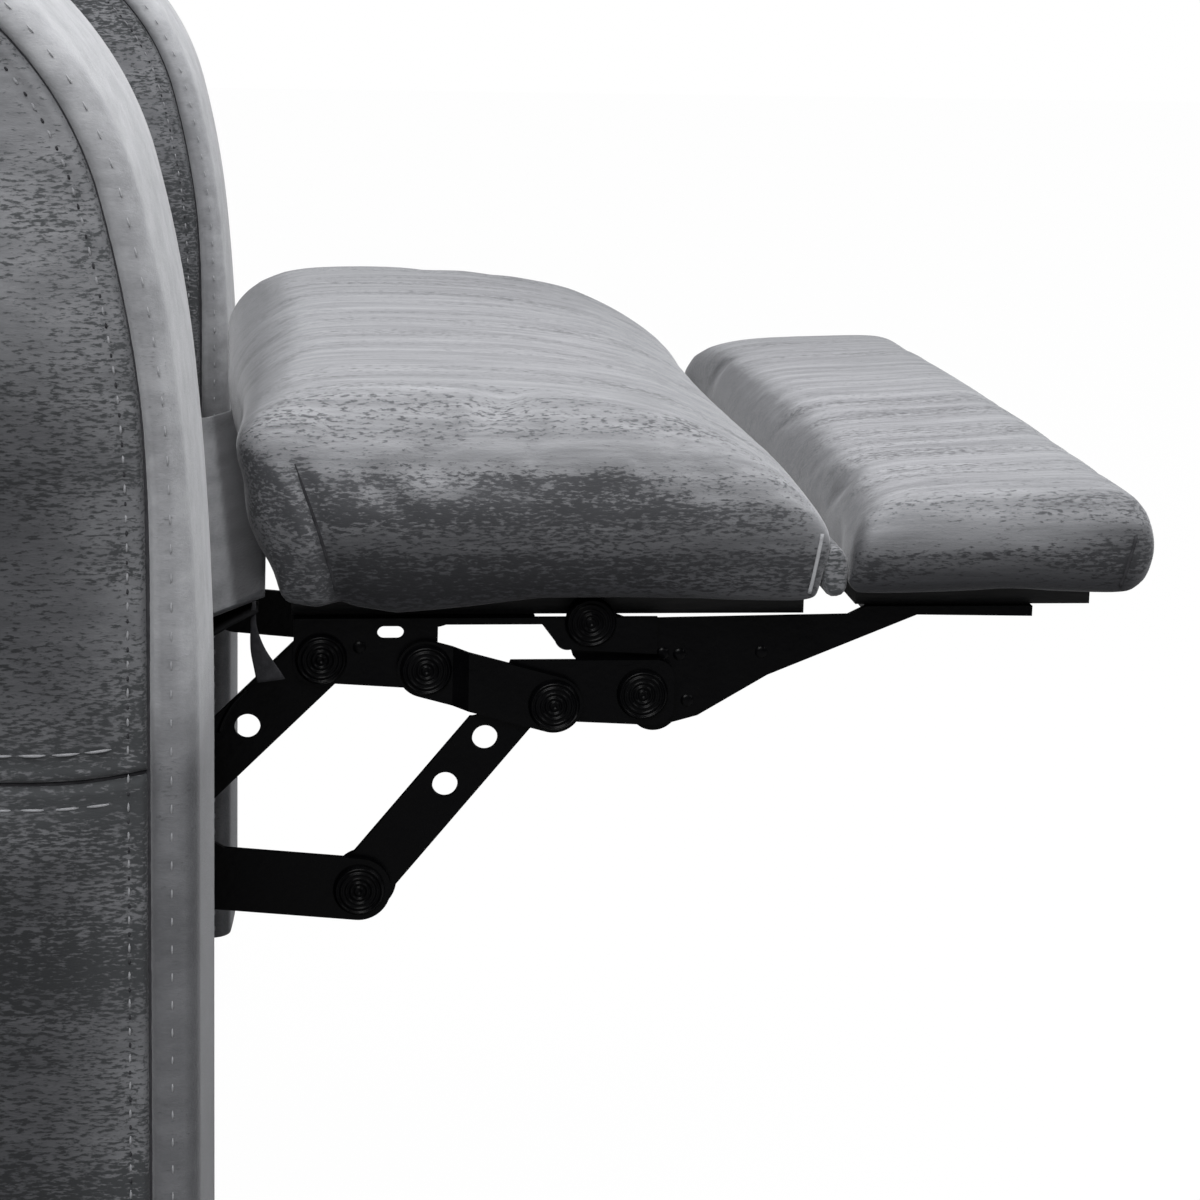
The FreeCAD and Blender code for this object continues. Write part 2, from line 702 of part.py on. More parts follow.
flip_flange_bottom = flip_board_bottom - plate_thickness
flip_flange_front = flip_board_front - flip_flange_inset
flip_bracket_outline = [
    (flip_pivot[0] - 10.4, flip_pivot[1] + 3.0),
    (flip_pivot[0] - 10.8, flip_pivot[1] - 6.0),
    (flip_pivot[0] - 7.3, flip_pivot[1] - 16.7),
    (lower_end_pivot[0] - 6.4, lower_end_pivot[1] - 12.7),
    (lower_end_pivot[0] + 0.8, lower_end_pivot[1] - 17.7),
    (lower_end_pivot[0] + 5.0, lower_end_pivot[1] - 19.0, lower_end_pivot[0] + 14.8, lower_end_pivot[1] - 15.4),
    (lower_end_pivot[0] + 26.6, lower_end_pivot[1] - 12.2),
    (flip_board_back - flip_web_back, flip_flange_bottom - flip_web_drop),
    (flip_board_back + flip_flange_inset, flip_flange_bottom - 1.0),
    (flip_flange_front, flip_flange_bottom - 1.8),
    (flip_flange_front, flip_board_bottom),
    (flip_board_back + 4.0, flip_board_bottom),
    (flip_board_back - 4.0, flip_flange_bottom - 1.0),
    (flip_pivot[0] + 40.0, flip_pivot[1] + 0.6),
    (flip_pivot[0] + 18.0, flip_pivot[1] + 0.2),
    (flip_pivot[0] + 10.5, flip_pivot[1] + 3.0),
    (flip_pivot[0], flip_pivot[1] + 10.9, flip_pivot[0] - 10.4, flip_pivot[1] + 3.0),
]
flip_bracket = slab(flip_bracket_outline, -flip_layer - plate_thickness, -flip_layer)
flip_flange = block(flip_board_back + 4.0, flip_flange_front, -flip_layer, -flip_layer + flange_width,
                    flip_flange_bottom, flip_board_bottom)
flip_bracket = flip_bracket.fuse(flip_flange).removeSplitter()
flip_bracket = drilled(flip_bracket, [flip_pivot, lower_end_pivot], shank_hole)
flip_screw_x = [flip_board_back + 18.0, flip_flange_front - 14.0]
flip_screw_y = -flip_layer + flange_width * 0.62
for x in flip_screw_x:
    flip_bracket = flip_bracket.cut(Part.makeCylinder((screw_diameter + 1) / 2, plate_thickness + 2,
                                                      Vector(x, flip_screw_y, flip_flange_bottom - 1)))
save_pair("flip_bracket", flip_bracket.Solids[0])

# Rivets, grouped by the link that carries them
rear_rivet = rivet(rear_end_pivot, short_layer + plate_thickness, lower_layer)
long_rivet = rivet(front_link_pivot, rear_outer_layer + plate_thickness, flip_layer)
spacer = rod(front_link_pivot, spacer_diameter, -rear_outer_layer + running_clearance,
             -flip_layer - plate_thickness - running_clearance)
save("rear_link_rivets", both([rear_rivet, long_rivet.fuse(spacer).removeSplitter().Solids[0]]))
bracket_rivets = [
    rivet(bracket_pivot, bracket_layer + plate_thickness, flip_layer),
    rivet(short_pivot, lower_layer + plate_thickness, bracket_layer),
    rivet(flip_pivot, bracket_layer + plate_thickness, flip_layer),
]
save("bracket_rivets", both(bracket_rivets))
save("short_link_rivets", both([rivet(elbow_pivot, short_layer + plate_thickness, short_layer, False)]))
save("lower_link_rivets", both([rivet(lower_end_pivot, lower_layer + plate_thickness, lower_layer, False)]))


def wood_screw(x, y, head_top):
    """A pan-head screw driven upwards, its head under a flange."""
    head = Part.makeCylinder(screw_head / 2, screw_head_height, Vector(x, y, head_top - screw_head_height))
    return head.fuse(Part.makeCylinder(screw_diameter / 2, screw_length, Vector(x, y, head_top))).Solids[0]


board_screws = [wood_screw(x, screw_y, flange_bottom) for x in bracket_screw_x]
save("footrest_board_screws", both(board_screws))
save("footrest_board", footrest_board.cut(both(board_screws)).Solids[0])
flip_screws = [wood_screw(x, flip_screw_y, flip_flange_bottom) for x in flip_screw_x]
save("flip_board_screws", both(flip_screws))
save("flip_board", flip_board.cut(both(flip_screws)).Solids[0])

# Side plates: fixed steel plates that carry the linkage, the cross tube and the back hinge
plate_top = seat_rail_top - 4.0
plate_front = main_pivot[0] + plate_tab
belly = main_pivot[1] - plate_belly_drop
leg_front = base_rail_front - leg_setback
leg_back = leg_front - leg_depth
leg_bottom = base_rail_bottom + leg_lift
side_outline = [
    (plate_front, plate_top),
    (plate_front, main_pivot[1] - plate_corner / 4),
    (plate_front - plate_corner / 4, main_pivot[1] - 0.9 * plate_corner,
     plate_front - plate_corner, main_pivot[1] - 1.2 * plate_corner),
    (main_pivot[0] - plate_belly_drop * 0.8, belly),
    (tube_pivot[0] + tube_diameter, belly),
    (leg_front + plate_corner, belly - plate_corner / 2, leg_front + plate_corner / 3, belly - 1.4 * plate_corner),
    (leg_front, leg_bottom),
    (leg_back, leg_bottom),
    (leg_back - plate_corner, belly - 1.4 * plate_corner),
    (hinge_pivot[0] - 0.6 * plate_corner, hinge_pivot[1] - 0.9 * plate_corner),
    (hinge_pivot[0] - 1.2 * plate_corner, hinge_pivot[1],
     hinge_pivot[0] - plate_corner, hinge_pivot[1] + 0.8 * plate_corner),
    (seat_rail_back - 1.4 * plate_corner, plate_top),
]
side_plate = right_slab(side_outline, side_plate_layer, plate_thickness)
side_plate = drilled(side_plate, [tube_pivot], tube_diameter + 2 * running_clearance)
side_plate = drilled(side_plate, [hinge_pivot], hinge_pin_diameter)
side_plate = drilled(side_plate, rail_bolt_places + seat_bolt_places, bolt_hole)
stud = rod(main_pivot, stud_diameter, -side_plate_layer, -rear_outer_layer + stud_head_height)
stud = stud.fuse(rod(main_pivot, stud_head, -rear_outer_layer + running_clearance,
                     -rear_outer_layer + stud_head_height))
save_pair("side_plate", side_plate.fuse(stud).removeSplitter().Solids[0])

# Bolts: side plates to the base rails, through sleeves, and side plates to the seat rails
plate_bolts = []
plate_outer = side_plate_layer + plate_thickness
for place in rail_bolt_places:
    shank = rod(place, bolt_diameter, -rail_inner - bolt_depth, -side_plate_layer)
    sleeve = rod(place, bolt_head, -rail_inner, -plate_outer)
    head = rod(place, bolt_head, -side_plate_layer, -side_plate_layer + bolt_head_height)
    plate_bolts.append(shank.fuse([sleeve, head]).removeSplitter().Solids[0])
for place in seat_bolt_places:
    shank = rod(place, bolt_diameter, -plate_outer, -side_plate_layer + bolt_depth)
    plate_bolts.append(shank.fuse(rod(place, bolt_head, -plate_outer - bolt_head_height, -plate_outer)).Solids[0])
save("plate_bolts", both(plate_bolts))

# Cross tube with its crank arms, welded into one piece, and the drive links to the rear links
crank_tip = polar(tube_pivot, crank_radius, crank_angle)
lever_inner = arm_outer + lever_gap
tube = rod(tube_pivot, tube_diameter, -lever_inner, plate_outer + 3.0)
crank_region = bar([tube_pivot, crank_tip], crank_half_width)
right_crank = drilled(plate(crank_region, rear_outer_layer), [crank_tip], pin_diameter + 4 * running_clearance)
save("drive_tube", tube.fuse([right_crank, left(right_crank)]).removeSplitter().Solids[0])

drive_link = plate(bar([crank_tip, crank_end], crank_half_width - 1.0), drive_layer)
link_pins = []
for end in (crank_tip, crank_end):
    link_pins.append(rod(end, pin_diameter, -drive_layer, -rear_outer_layer + pin_head_height))
    link_pins.append(rod(end, pin_head, -rear_outer_layer + running_clearance, -rear_outer_layer + pin_head_height))
save("drive_links", both([drive_link.fuse(link_pins).removeSplitter().Solids[0]]))

# Side lever on the sitter's right, with its bolt
lever_far = polar(tube_pivot, lever_length, lever_angle)
side_a = lever_angle + 90
lever_profile = [
    polar(tube_pivot, lever_root_width / 2, side_a),
    polar(lever_far, lever_tip_width / 2, side_a),
    polar(lever_far, lever_tip_width / 2, lever_angle) + polar(lever_far, lever_tip_width / 2, side_a - 180),
    polar(tube_pivot, lever_root_width / 2, side_a - 180),
]
lever_face = Part.Face(outline(lever_profile))
lever = lever_face.extrude(Vector(0, -lever_thickness, 0))
lever.translate(Vector(0, -lever_inner, 0))
lever = lever.makeFillet(2.5, [edge for edge in lever.Edges if edge.BoundBox.YLength < 0.01])
lever = lever.fuse(rod(tube_pivot, hub_diameter, -lever_inner - lever_thickness, -lever_inner)).removeSplitter()
lever_bolt = rod(tube_pivot, bolt_diameter, -lever_inner - lever_thickness, -lever_inner)
save("side_lever", lever.cut(lever_bolt).Solids[0])
lever_bolt = lever_bolt.fuse(rod(tube_pivot, lever_bolt_head, -lever_inner - lever_thickness - 2.0,
                                 -lever_inner - lever_thickness))
save("lever_bolt", lever_bolt.removeSplitter().Solids[0])


def coil(centre, mean_radius, wire_diameter, turns, pitch, y_start):
    """A helical spring about an axis along Y, one unbroken wire."""
    helix = Part.makeHelix(pitch, pitch * turns, mean_radius)
    print_least_gap("return spring", helix.Edges, wire_diameter)
    circle = Part.Circle(Vector(mean_radius, 0, 0), Vector(0, 1, 0), wire_diameter / 2).toShape()
    body = Part.Wire(helix.Edges).makePipeShell([Part.Wire([circle])], True, True)
    body.rotate(Vector(0, 0, 0), Vector(1, 0, 0), -90)
    body.translate(at(centre[0], centre[1], y_start))
    return body


return_radius = tube_diameter / 2 + fit_gap + return_wire / 2
return_start = -seat_rail_inner + return_coil_inset
return_spring = coil(tube_pivot, return_radius, return_wire, return_turns, return_pitch, return_start)
save("return_springs", both([return_spring]))


# Back: built upright about the hinge, then tilted back as one body
def tilted(shape):
    moved = shape.copy()
    moved.translate(at(hinge_pivot[0], hinge_pivot[1]))
    moved.rotate(at(hinge_pivot[0], hinge_pivot[1]), Vector(0, 1, 0), -back_tilt)
    return moved


hinge_boss_outer = side_plate_layer - layer_gap
post_outer_y = hinge_boss_outer - hinge_boss_length - back_bracket_thickness
post_inner_y = post_outer_y - back_post_width
back_width = seat_width - 2 * back_side_gap
post_front = back_post_rear + back_post_depth
back_post = block(back_post_rear, post_front, -post_outer_y, -post_inner_y, back_frame_bottom, back_frame_top)
save("back_posts", both([tilted(back_post)]))
back_rails = []
for low in (back_frame_bottom, back_frame_top - back_rail_height):
    rail = block(back_post_rear, post_front, -post_inner_y, post_inner_y, low, low + back_rail_height)
    back_rails.append(tilted(rail))
save("back_cross_rails", group(back_rails))

rear_cover_front = back_post_rear
cover_half = back_width / 2
cover_outline = [
    (rear_cover_front, rear_cover_bottom),
    (rear_cover_front, back_top - 46.0),
    (rear_cover_front + 4.0, back_top - 12.0, cushion_rear - 2.0, back_top - 2.0),
    (cushion_rear - 2.0, back_top + 6.0),
    (rear_cover_front - rear_cover_thickness + 4.0, back_top - 8.0,
     rear_cover_front - rear_cover_thickness, back_top - 46.0),
    (rear_cover_front - rear_cover_thickness, rear_cover_bottom),
]
save("back_rear_cover", tilted(slab(cover_outline, -cover_half, cover_half)))

back_bracket_outline = [
    (-16.0, -18.0),
    (0.0, -22.0, 16.0, -16.0),
    (20.0, 4.0),
    (post_front - 3.0, lumbar_bottom - 6.0),
    (post_front - 3.0, 150.0),
    (back_post_rear + 6.0, 150.0),
    (back_post_rear + 6.0, back_frame_bottom + 30.0),
    (post_front - 3.0, back_frame_bottom + 30.0),
]
back_bracket = right_slab(back_bracket_outline, post_outer_y, back_bracket_thickness)
boss = rod((0.0, 0.0), hinge_boss_diameter, -hinge_boss_outer, -post_outer_y - back_bracket_thickness)
back_bracket = back_bracket.fuse(boss).removeSplitter()
back_bracket = drilled(back_bracket, [(0.0, 0.0)], hinge_pin_diameter + 2 * running_clearance)
save("back_brackets", both([tilted(back_bracket.Solids[0])]))

hinge_pin = rod(hinge_pivot, hinge_pin_diameter, -plate_outer, -post_outer_y)
hinge_pin = hinge_pin.fuse(rod(hinge_pivot, hinge_pin_diameter + 8.0, -plate_outer - 4.0, -plate_outer))
save("back_hinge_pins", both([hinge_pin.removeSplitter().Solids[0]]))


def back_cushion(low, high, front_low, front_high, bulge):
    """One stuffed section of the back, upright: rear face on the frame, front face crowned."""
    return [
        (cushion_rear, low),
        (front_low - 26.0, low),
        (front_low - 6.2, low + 7.5, front_low + 2.0, low + 26.0),
        ((front_low + front_high) / 2 + bulge, (low + high) / 2, front_high + 2.0, high - 26.0),
        (front_high - 6.2, high - 7.5, front_high - 26.0, high),
        (cushion_rear, high),
    ]


def save_back_pad(name, segments):
    """A crowned section of the back: full depth across the middle, thinner at both sides."""
    save(name, tilted(padded(segments, back_width / 2, cushion_rear, 0.0, 0.7, 1.0)))


seam_front = middle_front + 6.0
save_back_pad("lumbar_cushion", back_cushion(lumbar_bottom, lumbar_top, lumbar_front, seam_front, cushion_crown))
save_back_pad("middle_back_cushion", back_cushion(lumbar_top + cushion_gap, middle_top, seam_front, middle_front,
                                                  cushion_crown))
save_back_pad("head_cushion", back_cushion(middle_top + cushion_gap, back_top, head_front - 4.0,
                                           head_front - 20.0, head_crown))
side_panel = block(back_post_rear, cushion_rear, -cover_half, -cover_half + side_panel_thickness,
                   side_panel_bottom, back_top - 50.0)
save("back_side_panels", both([tilted(side_panel)]))

back_springs = []
spring_low = back_frame_bottom + back_rail_height + fit_gap + spring_wire / 2
spring_high = back_frame_top - back_rail_height - fit_gap - spring_wire / 2
back_pitch = (spring_high - spring_low) / (2 * back_spring_waves)
back_spring_spacing = 2 * post_inner_y / back_spring_count
for index in range(back_spring_count):
    y = (index - (back_spring_count - 1) / 2) * back_spring_spacing
    first = Vector(post_front - spring_wire, y - back_spring_reach / 2, spring_low)
    edges = zigzag(first, Vector(0, 0, 1), Vector(0, 1, 0), 2 * back_spring_waves + 1, back_spring_reach / 2,
                   back_pitch)
    back_springs.append(winding(edges, spring_wire))
save("back_springs", tilted(group(back_springs)))
print_least_gap("back spring", edges, spring_wire)
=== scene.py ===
import math
import bmesh
import bpy
import numpy as np
from mathutils import Matrix, Vector
from mathutils.bvhtree import BVHTree


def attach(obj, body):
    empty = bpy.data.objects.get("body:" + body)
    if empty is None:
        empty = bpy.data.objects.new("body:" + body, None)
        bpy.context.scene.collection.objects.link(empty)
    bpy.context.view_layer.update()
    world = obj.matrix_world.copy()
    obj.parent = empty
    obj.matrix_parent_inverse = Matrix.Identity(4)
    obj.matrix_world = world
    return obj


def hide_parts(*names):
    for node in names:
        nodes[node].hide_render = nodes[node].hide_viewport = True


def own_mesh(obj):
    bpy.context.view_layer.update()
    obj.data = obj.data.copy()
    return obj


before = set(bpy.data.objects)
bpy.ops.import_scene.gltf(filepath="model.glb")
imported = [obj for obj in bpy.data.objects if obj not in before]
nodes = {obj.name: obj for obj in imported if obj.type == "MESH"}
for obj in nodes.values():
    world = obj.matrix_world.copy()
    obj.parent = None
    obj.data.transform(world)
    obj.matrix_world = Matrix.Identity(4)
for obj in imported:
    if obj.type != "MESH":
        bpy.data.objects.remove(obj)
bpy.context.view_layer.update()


# Studio: a pale floor and wide soft lamps above and in front, as for a catalogue picture.
# The camera stands low at the sitter's right and looks across the footrest.
def srgb(code):
    """A colour written as sRGB hex, turned to the linear values that shaders use."""
    parts = [int(code[i:i + 2], 16) / 255 for i in (1, 3, 5)]
    return [c / 12.92 if c <= 0.04045 else ((c + 0.055) / 1.055) ** 2.4 for c in parts] + [1.0]


def add_node(tree, kind, settings, inputs):
    """Adds one node: settings are its properties, inputs its sockets' values or what feeds them."""
    node = tree.nodes.new("ShaderNode" + kind)
    for name, value in settings.items():
        setattr(node, name, value)
    for name, value in inputs.items():
        if isinstance(value, bpy.types.NodeSocket):
            tree.links.new(value, node.inputs[name])
        else:
            node.inputs[name].default_value = value
    return node


def blank_tree(owner):
    owner.use_nodes = True
    owner.node_tree.nodes.clear()
    return owner.node_tree


scene = bpy.context.scene
scene.view_settings.view_transform = "Standard"

world = bpy.data.worlds.new("studio_air")
scene.world = world
tree = blank_tree(world)
path = add_node(tree, "LightPath", {}, {})
sight = add_node(tree, "Math", {"operation": "MAXIMUM"}, {0: path.outputs["Is Camera Ray"],
                                                           1: path.outputs["Is Transmission Ray"]})
ambient = add_node(tree, "Background", {}, {"Color": srgb("#f6f7fa"), "Strength": 0.13})
white = add_node(tree, "Background", {}, {"Color": (1, 1, 1, 1), "Strength": 1.0})
mixed = add_node(tree, "MixShader", {}, {0: sight.outputs[0], 1: ambient.outputs[0], 2: white.outputs[0]})
add_node(tree, "OutputWorld", {}, {"Surface": mixed.outputs[0]})

floor_mesh = bpy.data.meshes.new("floor")
reach = 12
floor_mesh.from_pydata([(-reach, -reach, 0), (reach, -reach, 0), (reach, reach, 0), (-reach, reach, 0)], [],
                       [(0, 1, 2, 3)])
floor = bpy.data.objects.new("floor", floor_mesh)
scene.collection.objects.link(floor)
paper = bpy.data.materials.new("studio_paper")
tree = blank_tree(paper)
path = add_node(tree, "LightPath", {}, {})
matt = add_node(tree, "BsdfDiffuse", {}, {"Color": srgb("#9a9a9a")})
glow = add_node(tree, "Emission", {}, {"Color": (1, 1, 1, 1), "Strength": 1.02})
share = add_node(tree, "Math", {"operation": "MULTIPLY"}, {0: path.outputs["Is Camera Ray"], 1: 0.97})
mixed = add_node(tree, "MixShader", {}, {0: share.outputs[0], 1: matt.outputs[0], 2: glow.outputs[0]})
add_node(tree, "OutputMaterial", {}, {"Surface": mixed.outputs[0]})
floor_mesh.materials.append(paper)


def stand(thing, right, upward, forward, place):
    """Puts a lamp or the camera at a place, looking forward."""
    columns = np.column_stack([right, upward, -forward, place])
    thing.matrix_world = Matrix(np.vstack([columns, [0, 0, 0, 1]]).tolist())
    scene.collection.objects.link(thing)


def lamp(name, place, target, size, power):
    """A square soft box at a place, turned to face its target."""
    light = bpy.data.lights.new(name, "AREA")
    light.size = size
    light.energy = power
    holder = bpy.data.objects.new(name, light)
    aim = np.array(target) - np.array(place)
    forward = aim / np.linalg.norm(aim)
    side = np.cross(forward, (0.0, 0.31, 0.95))
    side /= np.linalg.norm(side)
    stand(holder, side, np.cross(side, forward), forward, place)


lamp("overhead_box", (0.5, 0.5, 2.6), (0.2, 0.0, 0.4), 2.0, 80)
lamp("front_box", (2.5, -0.6, 1.9), (0.3, -0.1, 0.5), 1.4, 26)
lamp("side_box", (-0.1, -2.1, 2.1), (0.1, -0.4, 0.6), 1.2, 56)

camera_data = bpy.data.cameras.new("camera")
camera_data.lens = 81.335
camera_data.shift_x, camera_data.shift_y = 0.06, -0.15
camera_data.clip_start = 0.05
camera = bpy.data.objects.new("camera", camera_data)
yaw, pitch, roll = math.radians(5.45), math.radians(9.832), math.radians(1.11)
forward = np.array([math.sin(yaw) * math.cos(pitch), math.cos(yaw) * math.cos(pitch), -math.sin(pitch)])
side = np.array([math.cos(yaw), -math.sin(yaw), 0.0])
rise = np.cross(side, forward)
right = side * math.cos(roll) + rise * math.sin(roll)
upward = rise * math.cos(roll) - side * math.sin(roll)
stand(camera, right, upward, forward, (0.2636, -1.432, 0.693))
scene.camera = camera


# Arm front bands: one long padded strip of velvet over each arm, up its front, along the top and
# down the rear, sewn to the side panels in a groove and stitched again beside it.
def surface(name):
    """A new material, its empty tree of nodes and the place of each point on the object."""
    material = bpy.data.materials.new(name)
    tree = blank_tree(material)
    return material, tree, add_node(tree, "TexCoord", {}, {}).outputs["Object"]


def noise(tree, place, scale, detail, roughness=0.5, distortion=0.0):
    return add_node(tree, "TexNoise", {}, {"Vector": place, "Scale": scale, "Detail": detail,
                                           "Roughness": roughness, "Distortion": distortion}).outputs[0]


def stretched(tree, place, lay):
    return add_node(tree, "Mapping", {}, {"Vector": place, "Scale": lay}).outputs[0]


def times_plus(tree, value, factor, more):
    return add_node(tree, "Math", {"operation": "MULTIPLY_ADD"}, {0: value, 1: factor, 2: more}).outputs[0]


def toned(tree, value, dark, light, low=0.0, high=1.0):
    """A colour that runs from dark at the low value to light at the high one."""
    ramp = add_node(tree, "ValToRGB", {}, {0: value})
    for element, place, tone in zip((0, 1), (low, high), (dark, light)):
        ramp.color_ramp.elements[element].position = place
        ramp.color_ramp.elements[element].color = srgb(tone)
    return ramp.outputs[0]


def between(tree, value, low, high):
    """Runs from low to high as a noise runs from 0 to 1."""
    return add_node(tree, "MapRange", {}, {"Value": value, "To Min": low, "To Max": high}).outputs[0]


def bumped(tree, height, strength, distance):
    return add_node(tree, "Bump", {}, {"Height": height, "Strength": strength, "Distance": distance}).outputs[0]


def shaded(tree, colour, roughness, normal, more):
    """Ends a material's nodes with one Principled shader."""
    shader = add_node(tree, "BsdfPrincipled", {}, {"Base Color": colour, "Roughness": roughness,
                                                   "Normal": normal, **more})
    add_node(tree, "OutputMaterial", {}, {"Surface": shader.outputs[0]})


def velvet(name, dark, light, fleck, crushed_share, lay=(1.0, 3.0, 3.7), flecks=(2.1, 6.0, 7.4)):
    """Brushed polyester velvet: the pile lies in long streaks, and crushed flecks 3 to 7 mm long gather in
    patches. A per-point attribute adds flecks (red) and painted shade (green), which darkens the colour towards
    #5c5c60."""
    material, tree, place = surface(name)
    drawn = stretched(tree, place, lay)
    streak = noise(tree, drawn, 16.0, 9.0, 0.72)
    speck = noise(tree, stretched(tree, place, flecks), 112.0, 4.0, 0.62)
    patch = noise(tree, drawn, 4.5, 3.0, 0.6)
    pile = noise(tree, drawn, 520.0, 2.0, 0.6)
    marks = add_node(tree, "Attribute", {"attribute_name": "flecks_and_shade"}, {})
    marks = add_node(tree, "SeparateColor", {}, {"Color": marks.outputs["Color"]})
    crushed = times_plus(tree, marks.outputs[0], 0.17, times_plus(tree, patch, 0.7, speck))
    crushed = add_node(tree, "MapRange", {"interpolation_type": "SMOOTHSTEP"},
                       {"Value": crushed, "From Min": 0.84 - crushed_share, "From Max": 0.98 - crushed_share})
    ground = toned(tree, streak, dark, light, 0.38, 0.62)
    coloured = add_node(tree, "Mix", {"data_type": "RGBA"}, {0: crushed.outputs[0], 6: ground, 7: srgb(fleck)})
    # Painted shade: the attribute's green channel multiplies the colour by a dark grey.
    coloured = add_node(tree, "Mix", {"data_type": "RGBA", "blend_type": "MULTIPLY"},
                        {0: marks.outputs[1], 6: coloured.outputs[2], 7: srgb("#5c5c60")})
    relief = bumped(tree, times_plus(tree, pile, 0.3, speck), 0.4, 0.0007)
    shaded(tree, coloured.outputs[2], between(tree, speck, 0.6, 0.95), relief,
           {"Specular IOR Level": 0.2, "Sheen Weight": 0.35, "Sheen Roughness": 0.4,
            "Sheen Tint": srgb("#e8e9ec")})
    return material


# Copies of one velvet in different tones: the side panels' copy is a little darker, painted shade; the arm bands'
# copy is paler, painted light on the rounded bands.
shaded_side_velvet = velvet("velvet_crushed_shaded", "#68696c", "#838487", "#484a4c", 0.01)
lit_band_velvet = velvet("velvet_band_lit", "#8b8c8f", "#a3a4a7", "#7d7e81", -0.16, lay=(1.6, 2.6, 3.2))


def flecks_and_shade(cover, crush, painted_shade):
    """Marks each point of a velvet cover: its share of flecks and its painted shade, a darkening that stands in
    for shade.
    """
    marks = cover.data.attributes.new("flecks_and_shade", "FLOAT_COLOR", "POINT")
    colours = np.column_stack([crush, painted_shade, painted_shade, np.ones(len(painted_shade))])
    marks.data.foreach_set("color", np.clip(colours, 0, 1).astype(np.float32).ravel())


def rows_of(items, name):
    """A value of three parts, such as a place, of each of a mesh's items."""
    flat = np.zeros(len(items) * 3)
    items.foreach_get(name, flat)
    return flat.reshape(-1, 3)


def points_of(cover):
    """A mesh's points, in millimetres."""
    return rows_of(cover.data.vertices, "co") * 1000


def normals_of(cover):
    return rows_of(cover.data.vertex_normals, "vector")


def unit(rows):
    """Each row scaled to a length of 1."""
    return rows / np.linalg.norm(rows, axis=1)[:, None]


def eased(value, start, end):
    """0 before start, 1 after end, a smooth step between."""
    t = np.clip((value - start) / (end - start), 0, 1)
    return t * t * (3 - 2 * t)


def strip(points, close_columns=False):
    """The points and quads of a grid of points, the two ends of its rows joined on request."""
    rows, columns = points.shape[:2]
    index = np.arange(rows * columns).reshape(rows, columns)
    if close_columns:
        index = np.hstack([index, index[:, :1]])
    quads = np.stack([index[:-1, :-1], index[1:, :-1], index[1:, 1:], index[:-1, 1:]], -1).reshape(-1, 4)
    return points.reshape(-1, 3), quads


def piece(name, parts, material):
    """One smooth object from several point and face arrays, given in millimetres."""
    points, faces, count = [], [], 0
    for part_points, part_faces in parts:
        points.append(part_points)
        faces.extend((np.asarray(part_faces) + count).tolist())
        count += len(part_points)
    mesh = bpy.data.meshes.new(name)
    mesh.from_pydata((np.vstack(points) / 1000).tolist(), [], faces)
    work = bmesh.new()
    work.from_mesh(mesh)
    bmesh.ops.remove_doubles(work, verts=work.verts, dist=2e-6)
    bmesh.ops.dissolve_degenerate(work, edges=work.edges, dist=1e-7)
    bmesh.ops.recalc_face_normals(work, faces=work.faces)
    work.to_mesh(mesh)
    work.free()
    mesh.shade_smooth()
    mesh.materials.append(material)
    made = bpy.data.objects.new(name, mesh)
    scene.collection.objects.link(made)
    return made


def caps(points):
    """Closes both ends of a tube of rings, given as a grid of points: rings shrink to each end's middle."""
    closed = []
    for end in (points[0], points[-1]):
        middle = end.mean(0)
        shares = np.array([1.0, 0.6, 0.25, 0.0])[:, None, None]
        closed.append(strip(middle + (end - middle) * shares, close_columns=True))
    return closed


arm_front, arm_back, arm_bottom, arm_straight = 240.0, -545.0, 50.0, 385.0
arm_inner, arm_outer = 275.0, 455.0
arm_arcs = ((1305.0, 6.1), (545.0, 15.0), (150.0, 50.0), (85.0, 90.0))
rear_round, arm_step = 60.0, 2.5


def circle(degrees):
    """Points of the unit circle at angles in degrees."""
    return np.stack([np.cos(np.radians(degrees)), np.sin(np.radians(degrees))], -1)


def arm_line(inset):
    """Points (x, z) up the arm's front, over its top and down its rear, at an inset from its surface:
    a straight rise, arcs of arm_arcs' radii up to its angles, the level top and a round rear corner."""
    line = [(arm_front - inset, z) for z in np.arange(arm_bottom, arm_straight, arm_step)]
    joint = np.array([arm_front, arm_straight])
    low = 0.0
    for radius, high in arm_arcs:
        centre = joint - radius * circle(low)
        count = max(3, int(radius * math.radians(high - low) / arm_step))
        line += list(centre + (radius - inset) * circle(np.linspace(low, high, count, endpoint=False)))
        joint = centre + radius * circle(high)
        low = high
    line += [(x, joint[1] - inset) for x in np.arange(joint[0], arm_back + rear_round, -arm_step)]
    corner = np.array([arm_back + rear_round, joint[1] - rear_round])
    line += list(corner + (rear_round - inset) * circle(np.linspace(90, 180, 20)))
    line += [(arm_back + inset, z) for z in np.arange(corner[1] - arm_step, arm_bottom, -arm_step)]
    line.append((arm_back + inset, arm_bottom))
    return np.array(line)


def puckers(along, period, depth):
    """Small even gathers beside a seam: a cosine of the way along, its phase drifting slowly."""
    return depth * np.cos(2 * np.pi * along / period + 1.7 * np.sin(along / 61.0))


def run_of(line):
    """How far along a line each of its points lies."""
    return np.concatenate([[0.0], np.cumsum(np.linalg.norm(np.diff(line, axis=0), axis=1))])


band_turns = np.radians(np.linspace(0, 90, 7))
band_round, band_crown, groove_depth = 13.0, 3.5, 24.0
half_band = (arm_outer - arm_inner) / 2
